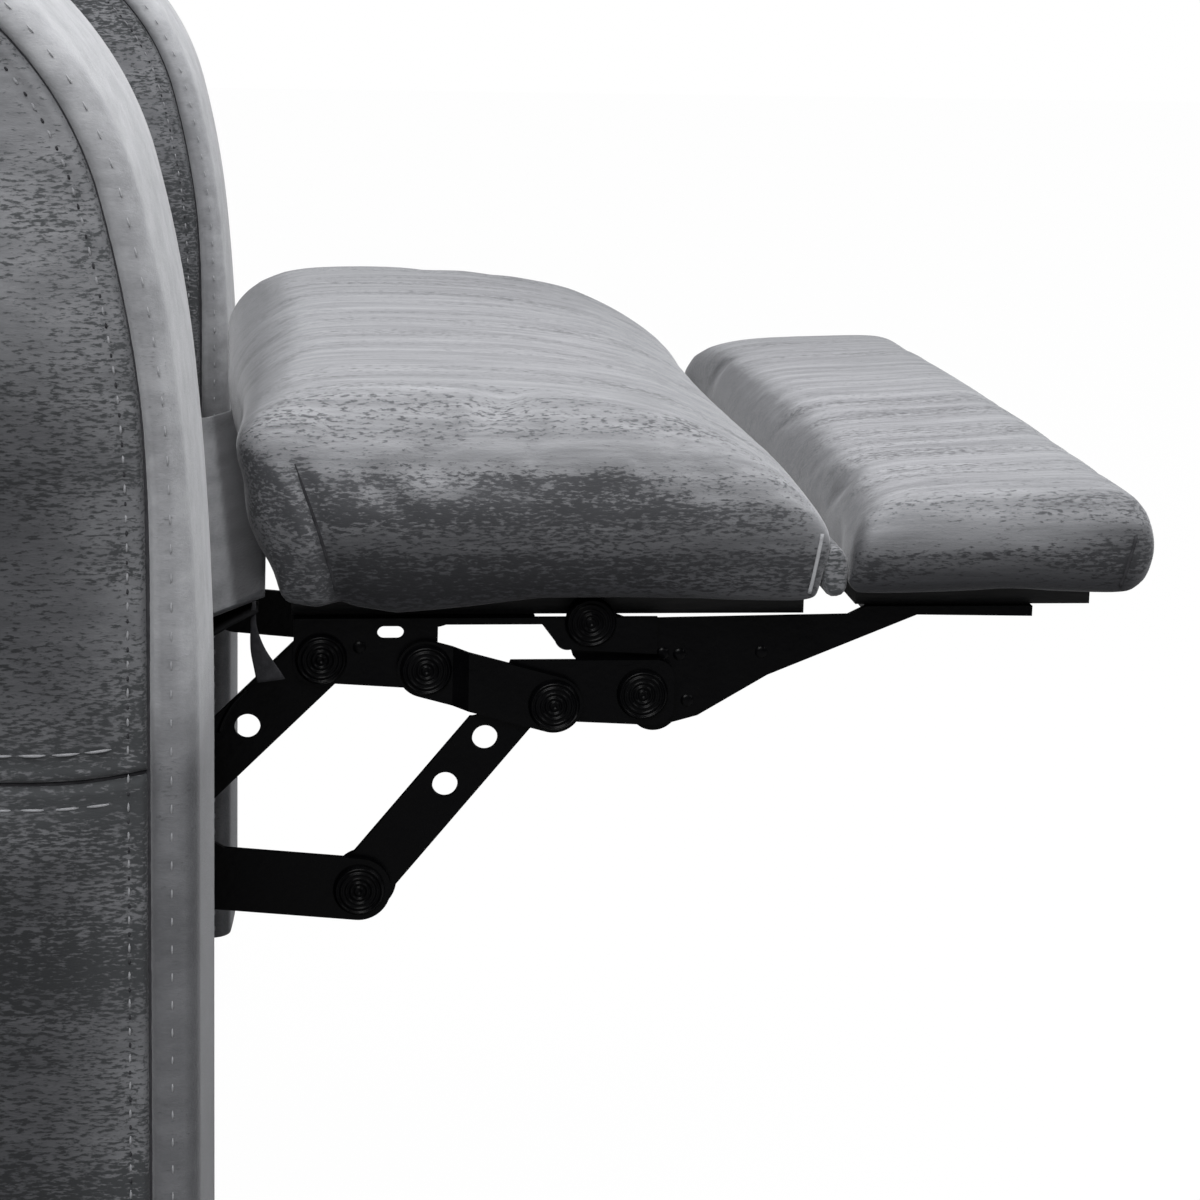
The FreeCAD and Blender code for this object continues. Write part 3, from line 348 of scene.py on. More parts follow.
# The band's section as (inset from the arm's surface, place across it), from the inner groove outwards
edge = [(groove_depth, half_band - 9.0), (23.6, half_band - 4.0), (21.4, half_band - 1.0),
        (18.6, half_band + 0.1)]
edge += [(band_round + band_crown - band_round * math.sin(t), half_band - band_round + band_round * math.cos(t))
         for t in band_turns]
flat_half = half_band - band_round
across = [(band_crown * (1 - 2 * s) ** 2, flat_half * (1 - 2 * s)) for s in np.linspace(0.05, 0.95, 13)]
under = [(24.6, -60.0), (24.6, 0.0), (24.6, 60.0)]
section = np.array(edge + across + [(n, -s) for n, s in reversed(edge)] + under)
surface_line = arm_line(0.0)
way_in = arm_line(1.0) - surface_line
run = run_of(surface_line)
# The band is 22 mm deep at its sides, and 17 mm where it curves over the front of the arm
depth_share = 0.91 - 0.22 * eased(surface_line[:, 1], 395, 540) * eased(surface_line[:, 0], -300, -100)


def sewn_line(beyond):
    """Points (x, z) a given way further in than the groove between the band and the side panels."""
    return surface_line + way_in * (groove_depth * depth_share + beyond)[:, None]


gathers = puckers(run, 13.0, 0.3) + puckers(run, 7.9, 0.3) + puckers(run, 29.0, 0.25)
for side_name, sign in (("right", -1), ("left", 1)):
    inset = section[None, :, 0] + gathers[:, None] * np.exp(-((section[None, :, 0] - 15.0) / 6.0) ** 2)
    inset = inset * depth_share[:, None]
    points = np.zeros((len(run), len(section), 3))
    flat = surface_line[:, None, :] + way_in[:, None, :] * inset[:, :, None]
    points[:, :, 0], points[:, :, 2] = flat[:, :, 0], flat[:, :, 1]
    points[:, :, 1] = sign * (arm_inner + half_band + section[None, :, 1])
    band = piece(side_name + "_arm_band_cover", [strip(points, close_columns=True)] + caps(points), lit_band_velvet)
    spots = points_of(band)
    facing = normals_of(band)
    beside = eased(np.abs(facing[:, 1]), 0.75, 0.98)
    depth = -spots[:, 2]
    # Painted shade: the band's side faces darken towards the bottom, and its front face below about 430 mm.
    beside_shade = 0.05 + 0.25 * eased(depth, -640, -540) + 0.43 * eased(depth, -470, -330)
    turned = 0.62 + 0.22 * eased(facing[:, 0], 0.5, 0.95)
    flecks_and_shade(band, 0.1 * beside, beside * beside_shade + (1 - beside) * (0.1 + turned * eased(depth, -432, -380)))
    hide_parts(side_name + "_arm_front_band")
    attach(band, "chair")


# Arm side panels: velvet over thin wadding on the boards. The outer one is two pieces joined by a
# level seam 384 mm up, with a row of stitches on each side of it; the inner one is a single piece.
def tucked(distance, roll=4.0, sunk=4.5):
    """How far a padded panel lies below its face, by distance from its sewn edge: a quarter-ellipse
    roll at the edge, a faint dip where the stitches pull it and a slight rise beyond."""
    d = np.minimum(distance, roll) / roll
    return sunk * (1 - np.sqrt(1 - (1 - d) ** 2)) + 1.2 * np.exp(-((distance - 7.6) / 2.6) ** 2) \
        - 1.1 * (1 - np.exp(-(distance / 40.0) ** 2))


def distance_to(points, line):
    """Each point's shortest distance to a closed line of points, both in the side view."""
    span = np.roll(line, -1, axis=0) - line
    length = np.maximum((span ** 2).sum(1), 1e-9)
    nearest = np.full(len(points), 1e9)
    for chunk in np.array_split(np.arange(len(line)), max(1, len(line) // 60)):
        way = points[:, None, :] - line[None, chunk]
        share = np.clip((way * span[chunk]).sum(2) / length[chunk], 0, 1)
        gap = np.linalg.norm(way - share[:, :, None] * span[chunk], axis=2).min(1)
        nearest = np.minimum(nearest, gap)
    return nearest


def spread(count):
    """Shares from 0 to 1, close together at both ends."""
    return 0.5 - 0.5 * np.cos(np.pi * np.linspace(0, 1, count))


def around(grid):
    """The outermost points of a grid, once around."""
    return np.concatenate([grid[:, 0], grid[-1, 1:], grid[-2::-1, -1], grid[0, -2:0:-1]])


def panel_cover(name, columns, low, high, face, back):
    """A padded panel: upright columns between a lower and an upper line, its surface set by each
    point's distance from the sewn edge, and a flat rear face closing it."""
    shares = spread(56)
    grid = np.zeros((len(columns), len(shares), 2))
    grid[:, :, 0] = columns[:, None]
    grid[:, :, 1] = low[:, None] + (high - low)[:, None] * shares[None, :]
    border = around(grid)
    away = distance_to(grid.reshape(-1, 2), border).reshape(grid.shape[:2])
    sign = np.sign(face - back)
    sunk = tucked(away)
    sunk += puckers(grid[:, :, 0] + grid[:, :, 1], 19.0, 0.3) * np.exp(-((away - 6.0) / 5.0) ** 2)
    front_points = np.stack([grid[:, :, 0], face - sign * sunk, grid[:, :, 1]], -1)
    rear_points = front_points.copy()
    rear_points[:, :, 1] = back
    rim = around(front_points)
    rear_rim = rim.copy()
    rear_rim[:, 1] = back
    wall = strip(np.stack([rim, rear_rim]), close_columns=True)
    cover = piece(name, [strip(front_points), wall, strip(rear_points)], shaded_side_velvet)
    spots = points_of(cover)
    inside = distance_to(spots[:, [0, 2]], border)
    # More flecks low down, and painted shade over all but the panel's highest part, less of it within about 26 mm
    # of the sewn edge.
    flecks_and_shade(cover, 0.35 * eased(-spots[:, 2], -640, -420),
        (0.79 - 0.45 * np.exp(-(inside / 26.0) ** 2)) * eased(-spots[:, 2], -590, -500))
    return cover


panel_rear, panel_front = arm_back + 22.1, arm_front - 22.1
panel_line = sewn_line(0.2)
upper_part = panel_line[(panel_line[:, 0] > panel_rear) & (panel_line[:, 1] > arm_straight)]
order = np.argsort(upper_part[:, 0])
bend = arm_back + rear_round
stretches = ((panel_rear, bend, 2.0), (bend, 40.0, 7.0), (40.0, 180.0, 3.0), (180.0, panel_front - 0.3, 1.6))
columns = np.unique(np.concatenate([np.arange(*stretch) for stretch in stretches] + [[panel_front]]))
top_of = np.interp(columns, upper_part[order, 0], upper_part[order, 1])


def seam_height(x):
    """The level seam, which turns up a little in its last 40 mm before the band."""
    return 384.0 + 4.5 * np.clip((x - 176.0) / 40.0, 0, 1) ** 2


seam_gap, panel_foot = 0.6, arm_bottom + 0.5
panel_face, panel_back = arm_outer - 1.5, 441.0
for side_name, sign in (("right", -1), ("left", 1)):
    upper = panel_cover(side_name + "_outer_upper_cover", columns, seam_height(columns) + seam_gap, top_of,
                        sign * panel_face, sign * panel_back)
    lower = panel_cover(side_name + "_outer_lower_cover", columns, np.full(len(columns), panel_foot),
                        seam_height(columns) - seam_gap, sign * panel_face, sign * panel_back)
    # Behind the seat's front the inner panel ends above the base rails
    foot = np.interp(columns, [-34.0, -10.0], [342.0, panel_foot])
    inner = panel_cover(side_name + "_inner_cover", columns, foot, top_of, sign * (arm_inner + 1.5),
                        sign * (arm_inner + 12.0))
    for cover in (upper, lower, inner):
        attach(cover, "chair")
    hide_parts(side_name + "_arm_outer_panel")
    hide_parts(side_name + "_arm_inner_panel")

# Decorative stitches beside the seams: heavy polyester thread, 11 to 12 mm a stitch. Along the level
# seam most of each stitch shows; on the curved rows the pile hides all but 3 or 4 mm of it.
thread, tree, place = surface("bonded_polyester_thread")
twist = noise(tree, place, 900.0, 2.0)
shaded(tree, toned(tree, twist, "#747578", "#8f9094"), 0.55, bumped(tree, twist, 0.4, 0.0003),
       {"Sheen Weight": 0.3})


def stitches(path, outward, length, pitch=11.0, thickness=0.6, phase=0.5):
    """Stitches along a path of 3-D points: each is a ring-swept bead whose middle stands proud of
    the cloth by its own thickness and whose ends sink in."""
    run = run_of(path)
    count = int(run[-1] / pitch) - 1
    middle = (np.arange(count) + phase) * pitch + 0.9
    along = np.linspace(-0.5, 0.5, 5)
    at = middle[:, None] + along[None, :] * length
    centre = np.stack([np.interp(at, run, path[:, k]) for k in range(3)], -1)
    rise = (0.5 - 5.5 * np.abs(along) ** 3) * thickness * 2
    centre = centre + rise[None, :, None] * outward
    sideways = np.cross(unit(centre[:, -1] - centre[:, 0]), outward)
    turns = np.arange(5) * 2 * np.pi / 5
    swell = np.sqrt(1 - (along * 1.9) ** 2) * thickness
    rings = centre[:, :, None, :] + swell[None, :, None, None] * (
        np.cos(turns)[None, None, :, None] * sideways[:, None, None, :] +
        np.sin(turns)[None, None, :, None] * np.asarray(outward, float)[None, None, None, :])
    ends = np.stack([np.arange(5)[::-1], 20 + np.arange(5)])
    parts = []
    for stitch in rings:
        parts += [strip(stitch, close_columns=True), (stitch.reshape(-1, 3), ends)]
    return parts


def in_side_view(line, y):
    """Points (x, z) set at a place or at places y across the chair."""
    return np.column_stack([line[:, 0], np.full(len(line), y), line[:, 1]])


def bead(path, radius):
    """A round cord along a path that lies nearly in the side view, closed at both ends."""
    sides = 7
    way = unit(np.gradient(path, axis=0))
    side = unit(np.cross(way, (0.0, 1.0, 0.0)))
    rise = np.cross(side, way)
    turns = np.arange(sides) * 2 * np.pi / sides
    radii = np.broadcast_to(radius, len(path))[:, None, None]
    rings = path[:, None, :] + radii * (np.cos(turns)[None, :, None] * side[:, None, :] +
                                        np.sin(turns)[None, :, None] * rise[:, None, :])
    return [strip(rings, close_columns=True)] + caps(rings)


# The seams themselves: the cloth's raw edges turned under, with needle holes beside them. The folds and holes are
# coloured dark, painted shade of the groove and the pits; the same dark material also serves as the black backing
# cloth and the lining tape.
seam_shade_black_cloth, tree, place = surface("seam_shade_and_black_cloth")
fuzz = noise(tree, place, 300.0, 3.0)
shaded(tree, toned(tree, fuzz, "#232325", "#404043"), 0.95, bumped(tree, fuzz, 0.5, 0.001),
       {"Specular IOR Level": 0.1})
for side_name, sign in (("right", -1), ("left", 1)):
    rows, holes, folds = [], [], []
    panel_stitch, band_stitch, seam_line = sewn_line(7.8), sewn_line(-8.2), sewn_line(-0.1)
    for face, way in ((arm_outer, sign), (arm_inner, -sign)):
        outward = np.array([0.0, way, 0.0])
        for line, sunk, width in ((panel_stitch, 2.7, 0.5), (band_stitch, 0.2, 0.4)):
            rows += stitches(in_side_view(line, sign * face - way * sunk), outward, length=3.6, thickness=width)
        holes += stitches(in_side_view(panel_stitch, sign * face - way * 2.8), outward, length=2.2, thickness=0.5,
                          phase=0.0)
        folds += bead(in_side_view(seam_line, sign * face - way * 6.2), 2.0)
    level = np.arange(arm_back + 30.0, arm_front - 18.0, 4.0)
    for above, sunk in ((12.0, 1.7), (-9.2, 2.6)):
        seen = in_side_view(np.column_stack([level, seam_height(level) + above]), sign * (arm_outer - sunk))
        rows += stitches(seen, np.array([0.0, sign, 0.0]), pitch=12.2, length=10.6)
    fold = np.arange(arm_back + 26.0, arm_front - 22.0, 4.0)
    folds += bead(in_side_view(np.column_stack([fold, seam_height(fold)]), sign * (arm_outer - 6.4)), 1.6)
    for name, parts, material in (("_arm_stitching", rows, thread), ("_arm_needle_holes", holes, seam_shade_black_cloth),
                                  ("_arm_seam_folds", folds, seam_shade_black_cloth)):
        trim = piece(side_name + name, parts, material)
        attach(trim, "chair")


# Seat cushion: foam and springs under velvet, its front rolled down over the seat box's rail. Like
# the pads and the back's sections, it is a closed form that a simulated filling swells.
def spline(a, b, c, d, t):
    """A Catmull-Rom curve from b to c, whose neighbours are a and d."""
    return 0.5 * (2 * b + (c - a) * t + (2 * a - 5 * b + 4 * c - d) * t ** 2 + (3 * b - a - 3 * c + d) * t ** 3)


def even_line(points, count):
    """A closed smooth line through points (a Catmull-Rom spline), resampled at even spacing."""
    points = np.array(points, float)
    a, b, c, d = (np.roll(points, k, axis=0)[:, None, :] for k in (1, 0, -1, -2))
    t = np.linspace(0, 1, 24, endpoint=False)[None, :, None]
    dense = spline(a, b, c, d, t).reshape(-1, points.shape[1])
    dense = np.vstack([dense, dense[:1]])
    run = run_of(dense[:, :2])
    return np.column_stack([np.interp(np.linspace(0, run[-1], count, endpoint=False), run, dense[:, k])
                            for k in range(points.shape[1])])


def inward_of(outline):
    """Unit normals into a closed outline of (x, z) points."""
    tangent = unit(np.roll(outline, -1, axis=0) - np.roll(outline, 1, axis=0))
    area = np.sum(outline[:, 0] * np.roll(outline[:, 1], -1) - np.roll(outline[:, 0], -1) * outline[:, 1])
    return np.sign(area) * np.column_stack([-tangent[:, 1], tangent[:, 0]])


def stuffed_form(outline, half_width, spacing, bulge):
    """A closed form: an outline of (x, z, edge radius) carried along Y. At each end every point rolls
    inwards through a quarter turn of its own radius, and rings shrink to the middle of the end face."""
    xz, radius = outline[:, :2], outline[:, 2:3]
    inward = inward_of(xz)
    rings = []
    middle = xz.mean(0)
    inner = xz + inward * radius
    for share in np.linspace(1.0, 0.0, 12)[::-1][:-1]:
        rings.append(in_side_view(middle + (inner - middle) * share, -half_width - bulge * (1 - share ** 2)))
    for turn in np.radians(np.linspace(90, 0, 9)):
        ring = xz + inward * radius * (1 - math.cos(turn))
        rings.append(in_side_view(ring, -half_width + radius[:, 0] * (1 - math.sin(turn))))
    one_end = rings[:]
    run_out = half_width - radius[:, 0]
    for share in np.linspace(-1, 1, max(3, int(2 * half_width / spacing)))[1:-1]:
        rings.append(in_side_view(xz, share * run_out))
    rings += [ring * (1, -1, 1) for ring in reversed(one_end)]
    return [strip(np.array(rings), close_columns=True)]


def swollen(cushion, voxel, cap):
    """The points of a closed form filled as a stuffed cover fills: remeshed evenly and blown up as
    cloth from inside for 20 frames without gravity, no point moving further than the cap."""
    mesh = cushion.data
    remesh = cushion.modifiers.new("even_mesh", "REMESH")
    remesh.mode = "VOXEL"
    remesh.voxel_size = voxel
    remesh.use_smooth_shade = True
    whole = bpy.data.meshes.new_from_object(cushion.evaluated_get(bpy.context.evaluated_depsgraph_get()))
    cushion.modifiers.clear()
    material = mesh.materials[0]
    cushion.data = whole
    bpy.data.meshes.remove(mesh)
    whole.name = cushion.name
    whole.materials.clear()
    whole.materials.append(material)
    start = rows_of(whole.vertices, "co")
    stiffness, frames = 12.0, 20
    cloth = cushion.modifiers.new("stuffing", "CLOTH")
    cloth.settings.quality = 4
    cloth.settings.tension_stiffness = stiffness
    cloth.settings.compression_stiffness = stiffness
    cloth.settings.shear_stiffness = stiffness / 2
    cloth.settings.bending_stiffness = 0.8
    cloth.settings.use_pressure = True
    cloth.settings.uniform_pressure_force = 4.0
    cloth.settings.effector_weights.gravity = 0
    cloth.point_cache.frame_start, cloth.point_cache.frame_end = 1, frames
    for number in range(1, frames + 1):
        scene.frame_set(number)
    blown = cushion.evaluated_get(bpy.context.evaluated_depsgraph_get()).to_mesh()
    travel = rows_of(blown.vertices, "co") - start
    cushion.modifiers.clear()
    scene.frame_set(1)
    length = np.linalg.norm(travel, axis=1)[:, None]
    return start + travel / np.maximum(length, 1e-9) * cap * np.tanh(length / cap)


def settle(points, low, high, soft=0.004):
    """Keeps points inside the room between two corners, flattening gently as they near its walls."""
    for axis in range(3):
        over = points[:, axis] - (high[axis] - soft)
        points[:, axis] = np.where(over > 0, high[axis] - soft + soft * np.tanh(over / soft), points[:, axis])
        under = (low[axis] + soft) - points[:, axis]
        points[:, axis] = np.where(under > 0, low[axis] + soft - soft * np.tanh(under / soft), points[:, axis])
    return points


def put(cushion, points):
    cushion.data.vertices.foreach_set("co", points.astype(np.float32).ravel())
    cushion.data.update()
    cushion.data.shade_smooth()


def fleck_and_shade(cushion, turn, painted_light):
    """Marks a cushion's flecks where its top rolls over to the ends, and its painted shade: on the rear and on the
    ends, between two shares of its height and darkest at the foot, with the top a little darker towards its left
    end. A share of painted light takes some of the shade away."""
    facing = normals_of(cushion)
    _, across, height = points_of(cushion).T
    depth = (height.min() - height) / (height.max() - height.min())
    tilt = 1 - facing[:, 2]
    ends = np.sqrt(np.clip(1 - facing[:, 0] ** 2 - np.maximum(facing[:, 2], 0) ** 2, 0, 1))
    painted_shade = 0.2 * eased(tilt, 0.35, 1.0) + 0.48 * eased(depth, -turn[0], -turn[1])
    painted_shade += 0.34 * eased(depth, -0.42, -0.06)
    far = 0.2 * eased(across, 30, 220) * eased(facing[:, 2], 0.6, 0.95)
    flecks_and_shade(cushion, np.exp(-((tilt - 0.98) / 0.26) ** 2) * ends ** 0.6,
        painted_shade * ends ** 1.4 * (1 - painted_light) + 0.85 * eased(-facing[:, 0], 0.15, 0.95) * (1 - ends ** 2) + far)


def finished(cushion, points, node, body, turn=(0.6, 0.3), painted_light=0.0):
    """Gives a cushion its points, its flecks and painted shade and one subdivision, hides the part it stands for
    and attaches it to its body.
    """
    put(cushion, points)
    fleck_and_shade(cushion, turn, painted_light)
    finer = cushion.modifiers.new("finer", "SUBSURF")
    finer.levels = finer.render_levels = 1
    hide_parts(node)
    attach(cushion, body)


top_velvet = velvet("velvet_top", "#707174", "#8b8c8f", "#505154", -0.06, lay=(0.5, 8.0, 8.0))
seat_line = even_line([
    (-284, 447, 4), (-288, 468, 10), (-276, 484, 16), (-200, 490, 20), (0, 493, 20), (110, 492, 20),
    (172, 490, 18), (194, 484, 12), (204, 470, 8), (208, 450, 6), (211, 428, 4), (209, 414, 4), (201, 410, 3),
    (191, 410, 3), (188, 418, 3), (188, 436, 3), (182, 446, 3), (120, 447, 3), (0, 447, 3), (-160, 447, 3)], 150)
seat = piece("seat_cover", stuffed_form(seat_line, half_width=265.0, spacing=12.0, bulge=2.0), top_velvet)
points = settle(swollen(seat, voxel=0.006, cap=0.024), (-0.290, -0.2725, 0.4445), (0.2140, 0.2725, 0.506))
finished(seat, points, "seat_cushion", "chair")


# Footrest pad: a board under foam and velvet. The cover wraps down over each end, with a dart
# sewn in its rear corner and a narrow piped gusset at its front edge.
pad_line = even_line([
    (261, 408, 4), (380, 407.5, 2), (498, 407.5, 3), (510, 410, 5), (515.5, 421, 7), (516.5, 434, 8),
    (508, 446, 10), (488, 462, 18), (461, 476, 30), (437, 484, 34), (390, 491, 36), (330, 494, 36),
    (290, 493, 34), (264, 489, 26), (246, 480, 20), (235, 466, 18), (232.5, 449, 18), (237, 431, 16),
    (247, 418, 10)], 130)
pad = piece("footrest_cover", stuffed_form(pad_line, half_width=268.0, spacing=10.0, bulge=2.0), top_velvet)
points = settle(swollen(pad, voxel=0.005, cap=0.006), (0.2300, -0.2745, 0.4065), (0.5205, 0.2745, 0.501))


def on_end(solid, line, sign):
    """Points of an end face under a line of (x, z) points, found by looking in along Y."""
    shell = BVHTree.FromPolygons([Vector(p) for p in points_of(solid)],
                                 [tuple(f.vertices) for f in solid.data.polygons])
    found = [shell.ray_cast(Vector((x, sign * 330.0, z)), Vector((0, -sign, 0)))[0] for x, z in line]
    return np.array([place for place in found if place is not None])


# Below the top, the rear corners are rounded 16 mm forward, the right one over a broader stretch
right_corner = 0.92 * eased(-points[:, 1], -0.10, 0.24) * eased(-points[:, 2], -0.488, -0.455)
left_corner = 0.92 * eased(points[:, 1], 0.205, 0.266) * eased(-points[:, 2], -0.455, -0.425)
corner = (right_corner + left_corner) * eased(-points[:, 0], -0.300, -0.240)
points[:, 0] += 0.017 * corner
# The dart: the cloth behind it stands proud, the end panel in front of it is pulled in beside it
dart = np.array([(272.5, 470.0), (275.5, 461.0), (279.5, 450.0), (283.6, 438.0), (287.3, 425.0), (290.6, 413.0)])
across_dart = points[:, 0] * 1000 - np.interp(points[:, 2] * 1000, dart[::-1, 1], dart[::-1, 0])
near_end = eased(np.abs(points[:, 1]), 0.225, 0.262) * eased(-points[:, 2], -0.474, -0.462)
proud = 2.6 * np.exp(-((across_dart + 7.0) / 6.0) ** 2) - 2.6 * np.exp(-((across_dart - 2.5) / 3.6) ** 2)
points[:, 1] += np.sign(points[:, 1]) * near_end * proud / 1000
# Past the board's ends the cover hangs a little below it in an uneven hem
hem = np.interp(points[:, 0] * 1000, [245, 262, 292, 318, 350, 382, 420, 470, 520],
                [2, 4, 5, 10, 7, 3, 2.5, 3.5, 3])
points[:, 2] -= hem / 1000 * eased(np.abs(points[:, 1]), 0.2535, 0.258) * eased(-points[:, 2], -0.428, -0.410)
# Painted light: less painted shade behind the dart and near the front edge
painted_light = 0.4 * near_end * eased(-across_dart, 0.5, 5.0) + 0.2 * eased(points[:, 0], 0.42, 0.50)
finished(pad, points, "footrest_pad", "footrest", (0.64, 0.30), painted_light)
# The dart seams are dark, painted shade of their creases; the piping takes the band's paler velvet, a painted
# highlight along the front edge.
folds, piping = [], []
dart_line = np.column_stack([np.interp(np.linspace(0, 5, 26), range(6), dart[:, k]) for k in range(2)])
dart_radius = np.interp(np.linspace(0, 1, 26), [0, 0.2, 1], [0.25, 0.8, 0.9])
front_edge = np.linspace((508.5, 438.0), (503.5, 411.0), 14)
for sign in (-1, 1):
    folds += bead(on_end(pad, dart_line + (0.6, 0.0), sign), dart_radius)
    piping += bead(on_end(pad, front_edge, sign) - (0, sign * 0.2, 0), 0.9)
for name, parts, material in (("footrest_dart_seams", folds, seam_shade_black_cloth), ("footrest_piping", piping, lit_band_velvet)):
    trim = piece(name, parts, material)
    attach(trim, "footrest")

# Flip-out pad: a thinner pad on its own board, turned out past the first one's front edge. Its
# cover has a seam down its outer end.
flip_line = even_line([
    (524, 410, 3), (595, 409.5, 2), (649, 409.5, 3), (659, 413, 6), (665, 428, 9), (661, 443.5, 13),
    (650, 452, 18), (606, 452.5, 22), (560, 450, 22), (535, 444, 18), (525.5, 434, 10), (523, 420, 5)], 90)
flip = piece("flip_cover", stuffed_form(flip_line, half_width=268.0, spacing=10.0, bulge=2.0), top_velvet)
points = settle(swollen(flip, voxel=0.005, cap=0.005), (0.5215, -0.2745, 0.4085), (0.6715, 0.2745, 0.459))
# Its front top edge is fuller in the middle than at the ends
full = (1 - (points[:, 1] / 0.275) ** 2) * eased(points[:, 0], 0.59, 0.65)
points[:, 0] += 0.006 * full * eased(points[:, 2], 0.415, 0.440)
points[:, 2] += 0.003 * full * eased(points[:, 2], 0.430, 0.450)
finished(flip, points, "flip_pad", "flip", (1.5, 0.6))
# The end seams are dark, painted shade of their creases.
folds = []
for sign in (-1, 1):
    folds += bead(on_end(flip, np.linspace((652.0, 437.0), (646.0, 414.0), 14), sign), 0.8)
seam = piece("flip_end_seams", folds, seam_shade_black_cloth)
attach(seam, "flip")


# Bridge: the narrow strip of cover that joins the two pads down in the crease between them. It moves
# with the footrest pad.
def section_form(outline, half_width, edge, spacing):
    """A thin closed section of (x, z) points carried along Y, its end edges rounded, its ends flat."""
    inward = inward_of(outline)
    rings = []
    for turn in np.radians(np.linspace(90, 0, 5)):
        ring = outline + inward * edge * (1 - math.cos(turn))
        rings.append(in_side_view(ring, -half_width + edge * (1 - math.sin(turn))))
    run_out = half_width - edge
    middle = [in_side_view(outline, y)
              for y in np.linspace(-run_out, run_out, max(3, int(2 * run_out / spacing)))[1:-1]]
    grid = np.array(rings + middle + [ring * (1, -1, 1) for ring in reversed(rings)])
    ends = np.arange(len(outline))[None, :]
    return [strip(grid, close_columns=True), (grid[0], ends[:, ::-1]), (grid[-1], ends)]


bridge_line = even_line([
    (513.0, 430.0), (518.0, 430.5), (521.3, 424.0), (521.0, 412.0), (517.0, 408.5), (512.0, 410.0),
    (510.0, 420.0)], 24)
bridge = piece("pad_bridge", section_form(bridge_line, half_width=261.0, edge=3.0, spacing=16.0), shaded_side_velvet)
# A few flecks and a faint even painted shade, as the bridge lies in the crease.
flecks_and_shade(bridge, np.full(len(bridge.data.vertices), 0.1), np.full(len(bridge.data.vertices), 0.2))
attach(bridge, "footrest")


# Front flap: a loose sheet of the same velvet from under the seat's front rail to the back of the
# footrest pad, which hides the linkage from above, with a black lining hung below it.
def open_line(points, count):
    """A smooth open line through points, at even spacing."""
    points = np.array(points, float)
    points = np.vstack([2 * points[0] - points[1], points, 2 * points[-1] - points[-2]])
    a, b, c, d = (points[k:len(points) - 3 + k, None, :] for k in range(4))
    t = np.linspace(0, 1, 16, endpoint=False)[None, :, None]
    dense = np.vstack([spline(a, b, c, d, t).reshape(-1, points.shape[1]), points[-2]])
    run = run_of(dense)
    return np.column_stack([np.interp(np.linspace(0, run[-1], count), run, dense[:, k])
                            for k in range(points.shape[1])])


def hung_sheet(name, profile, thickness, half_width, sag, material):
    """A sheet hung between two fixed edges: its profile in the side view carried along Y, with broad
    shallow waves that die out at both fixed edges."""
    line = open_line(profile, 40)
    way = unit(np.gradient(line, axis=0))
    off = np.column_stack([-way[:, 1], way[:, 0]]) * thickness / 2
    closed = np.vstack([line + off, (line - off)[::-1]])
    places = np.linspace(-half_width, half_width, 66)
    free = np.sin(np.pi * np.linspace(0, 1, 40)) ** 0.8
    free = np.concatenate([free, free[::-1]])
    wave = np.sin(places / 31.0 + 0.6) + 0.6 * np.sin(places / 17.3) + 0.35 * np.sin(places / 9.1 + 1.0)
    grid = np.zeros((66, 80, 3))
    grid[:, :, 0] = closed[None, :, 0]
    grid[:, :, 1] = places[:, None]
    grid[:, :, 2] = closed[None, :, 1] + sag * free[None, :] * wave[:, None]
    ends = np.arange(80)[None, :]
    cloth = piece(name, [strip(grid, close_columns=True), (grid[0], ends[:, ::-1]), (grid[-1], ends)], material)
    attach(cloth, "chair")
    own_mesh(cloth)
    return cloth


# A darker copy of the velvet for the flap under the seat's front: painted shade.
shaded_flap_velvet = velvet("velvet_flap_shaded", "#5c5d60", "#77787b", "#48494c", -0.1, lay=(4.4, 0.8, 4.4),
                     flecks=(7.4, 2.1, 7.4))
flap_profile = [(187, 409.5), (194, 403), (205, 398), (218, 397.5), (231, 400.5), (245, 405.5), (260, 411)]
flap = hung_sheet("front_flap", flap_profile, 1.8, 263.0, 0.7, shaded_flap_velvet)
spots = points_of(flap)
# Painted shadow: the flap's part nearest the pad is darkened strongly, as the crease's shade; the rest only a
# little.
flecks_and_shade(flap, 0 * spots[:, 0], 0.1 + 0.75 * eased(spots[:, 0] + 0.0405 * spots[:, 1], 234.7, 237.7))

lining_cloth, tree, place = surface("black_spunbond_lining")
fibres = noise(tree, place, 420.0, 4.0, 0.7)
shaded(tree, toned(tree, fibres, "#070708", "#171719"), 0.9, bumped(tree, fibres, 0.4, 0.0006),
       {"Specular IOR Level": 0.15})
lining_profile = [(188, 404.5), (198, 396), (214, 391.5), (232, 392), (246, 399), (257, 404.5)]
hung_sheet("flap_lining", lining_profile, 1.4, 266.0, 0.5, lining_cloth)

# Strap: the lining's loose tape end beside the right linkage, narrow above and fanned out below. It
# is a flat oval swept down a line and turned as it falls.
strap_line = open_line([(255.5, 408), (255.2, 398), (257.0, 387), (261.0, 377), (263.0, 372)], 24)
half = np.interp(np.linspace(0, 1, 24), [0, 0.3, 0.7, 1], [2.6, 2.2, 4.6, 6.4])
turn = np.radians(np.linspace(70, 8, 24))
flatness = np.linspace(0, 2 * np.pi, 12, endpoint=False)
rings = np.stack([strap_line[:, 0, None] + half[:, None] * np.cos(flatness) * np.cos(turn)[:, None],
                  -263.5 - half[:, None] * np.cos(flatness) * np.sin(turn)[:, None] * 0.5 - 0.8 * np.sin(flatness),
                  strap_line[:, 1, None] + 0.15 * half[:, None] * np.cos(flatness)], -1)
strap = piece("lining_tape", [strip(rings, close_columns=True)] + caps(rings), seam_shade_black_cloth)
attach(strap, "chair")
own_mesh(strap)


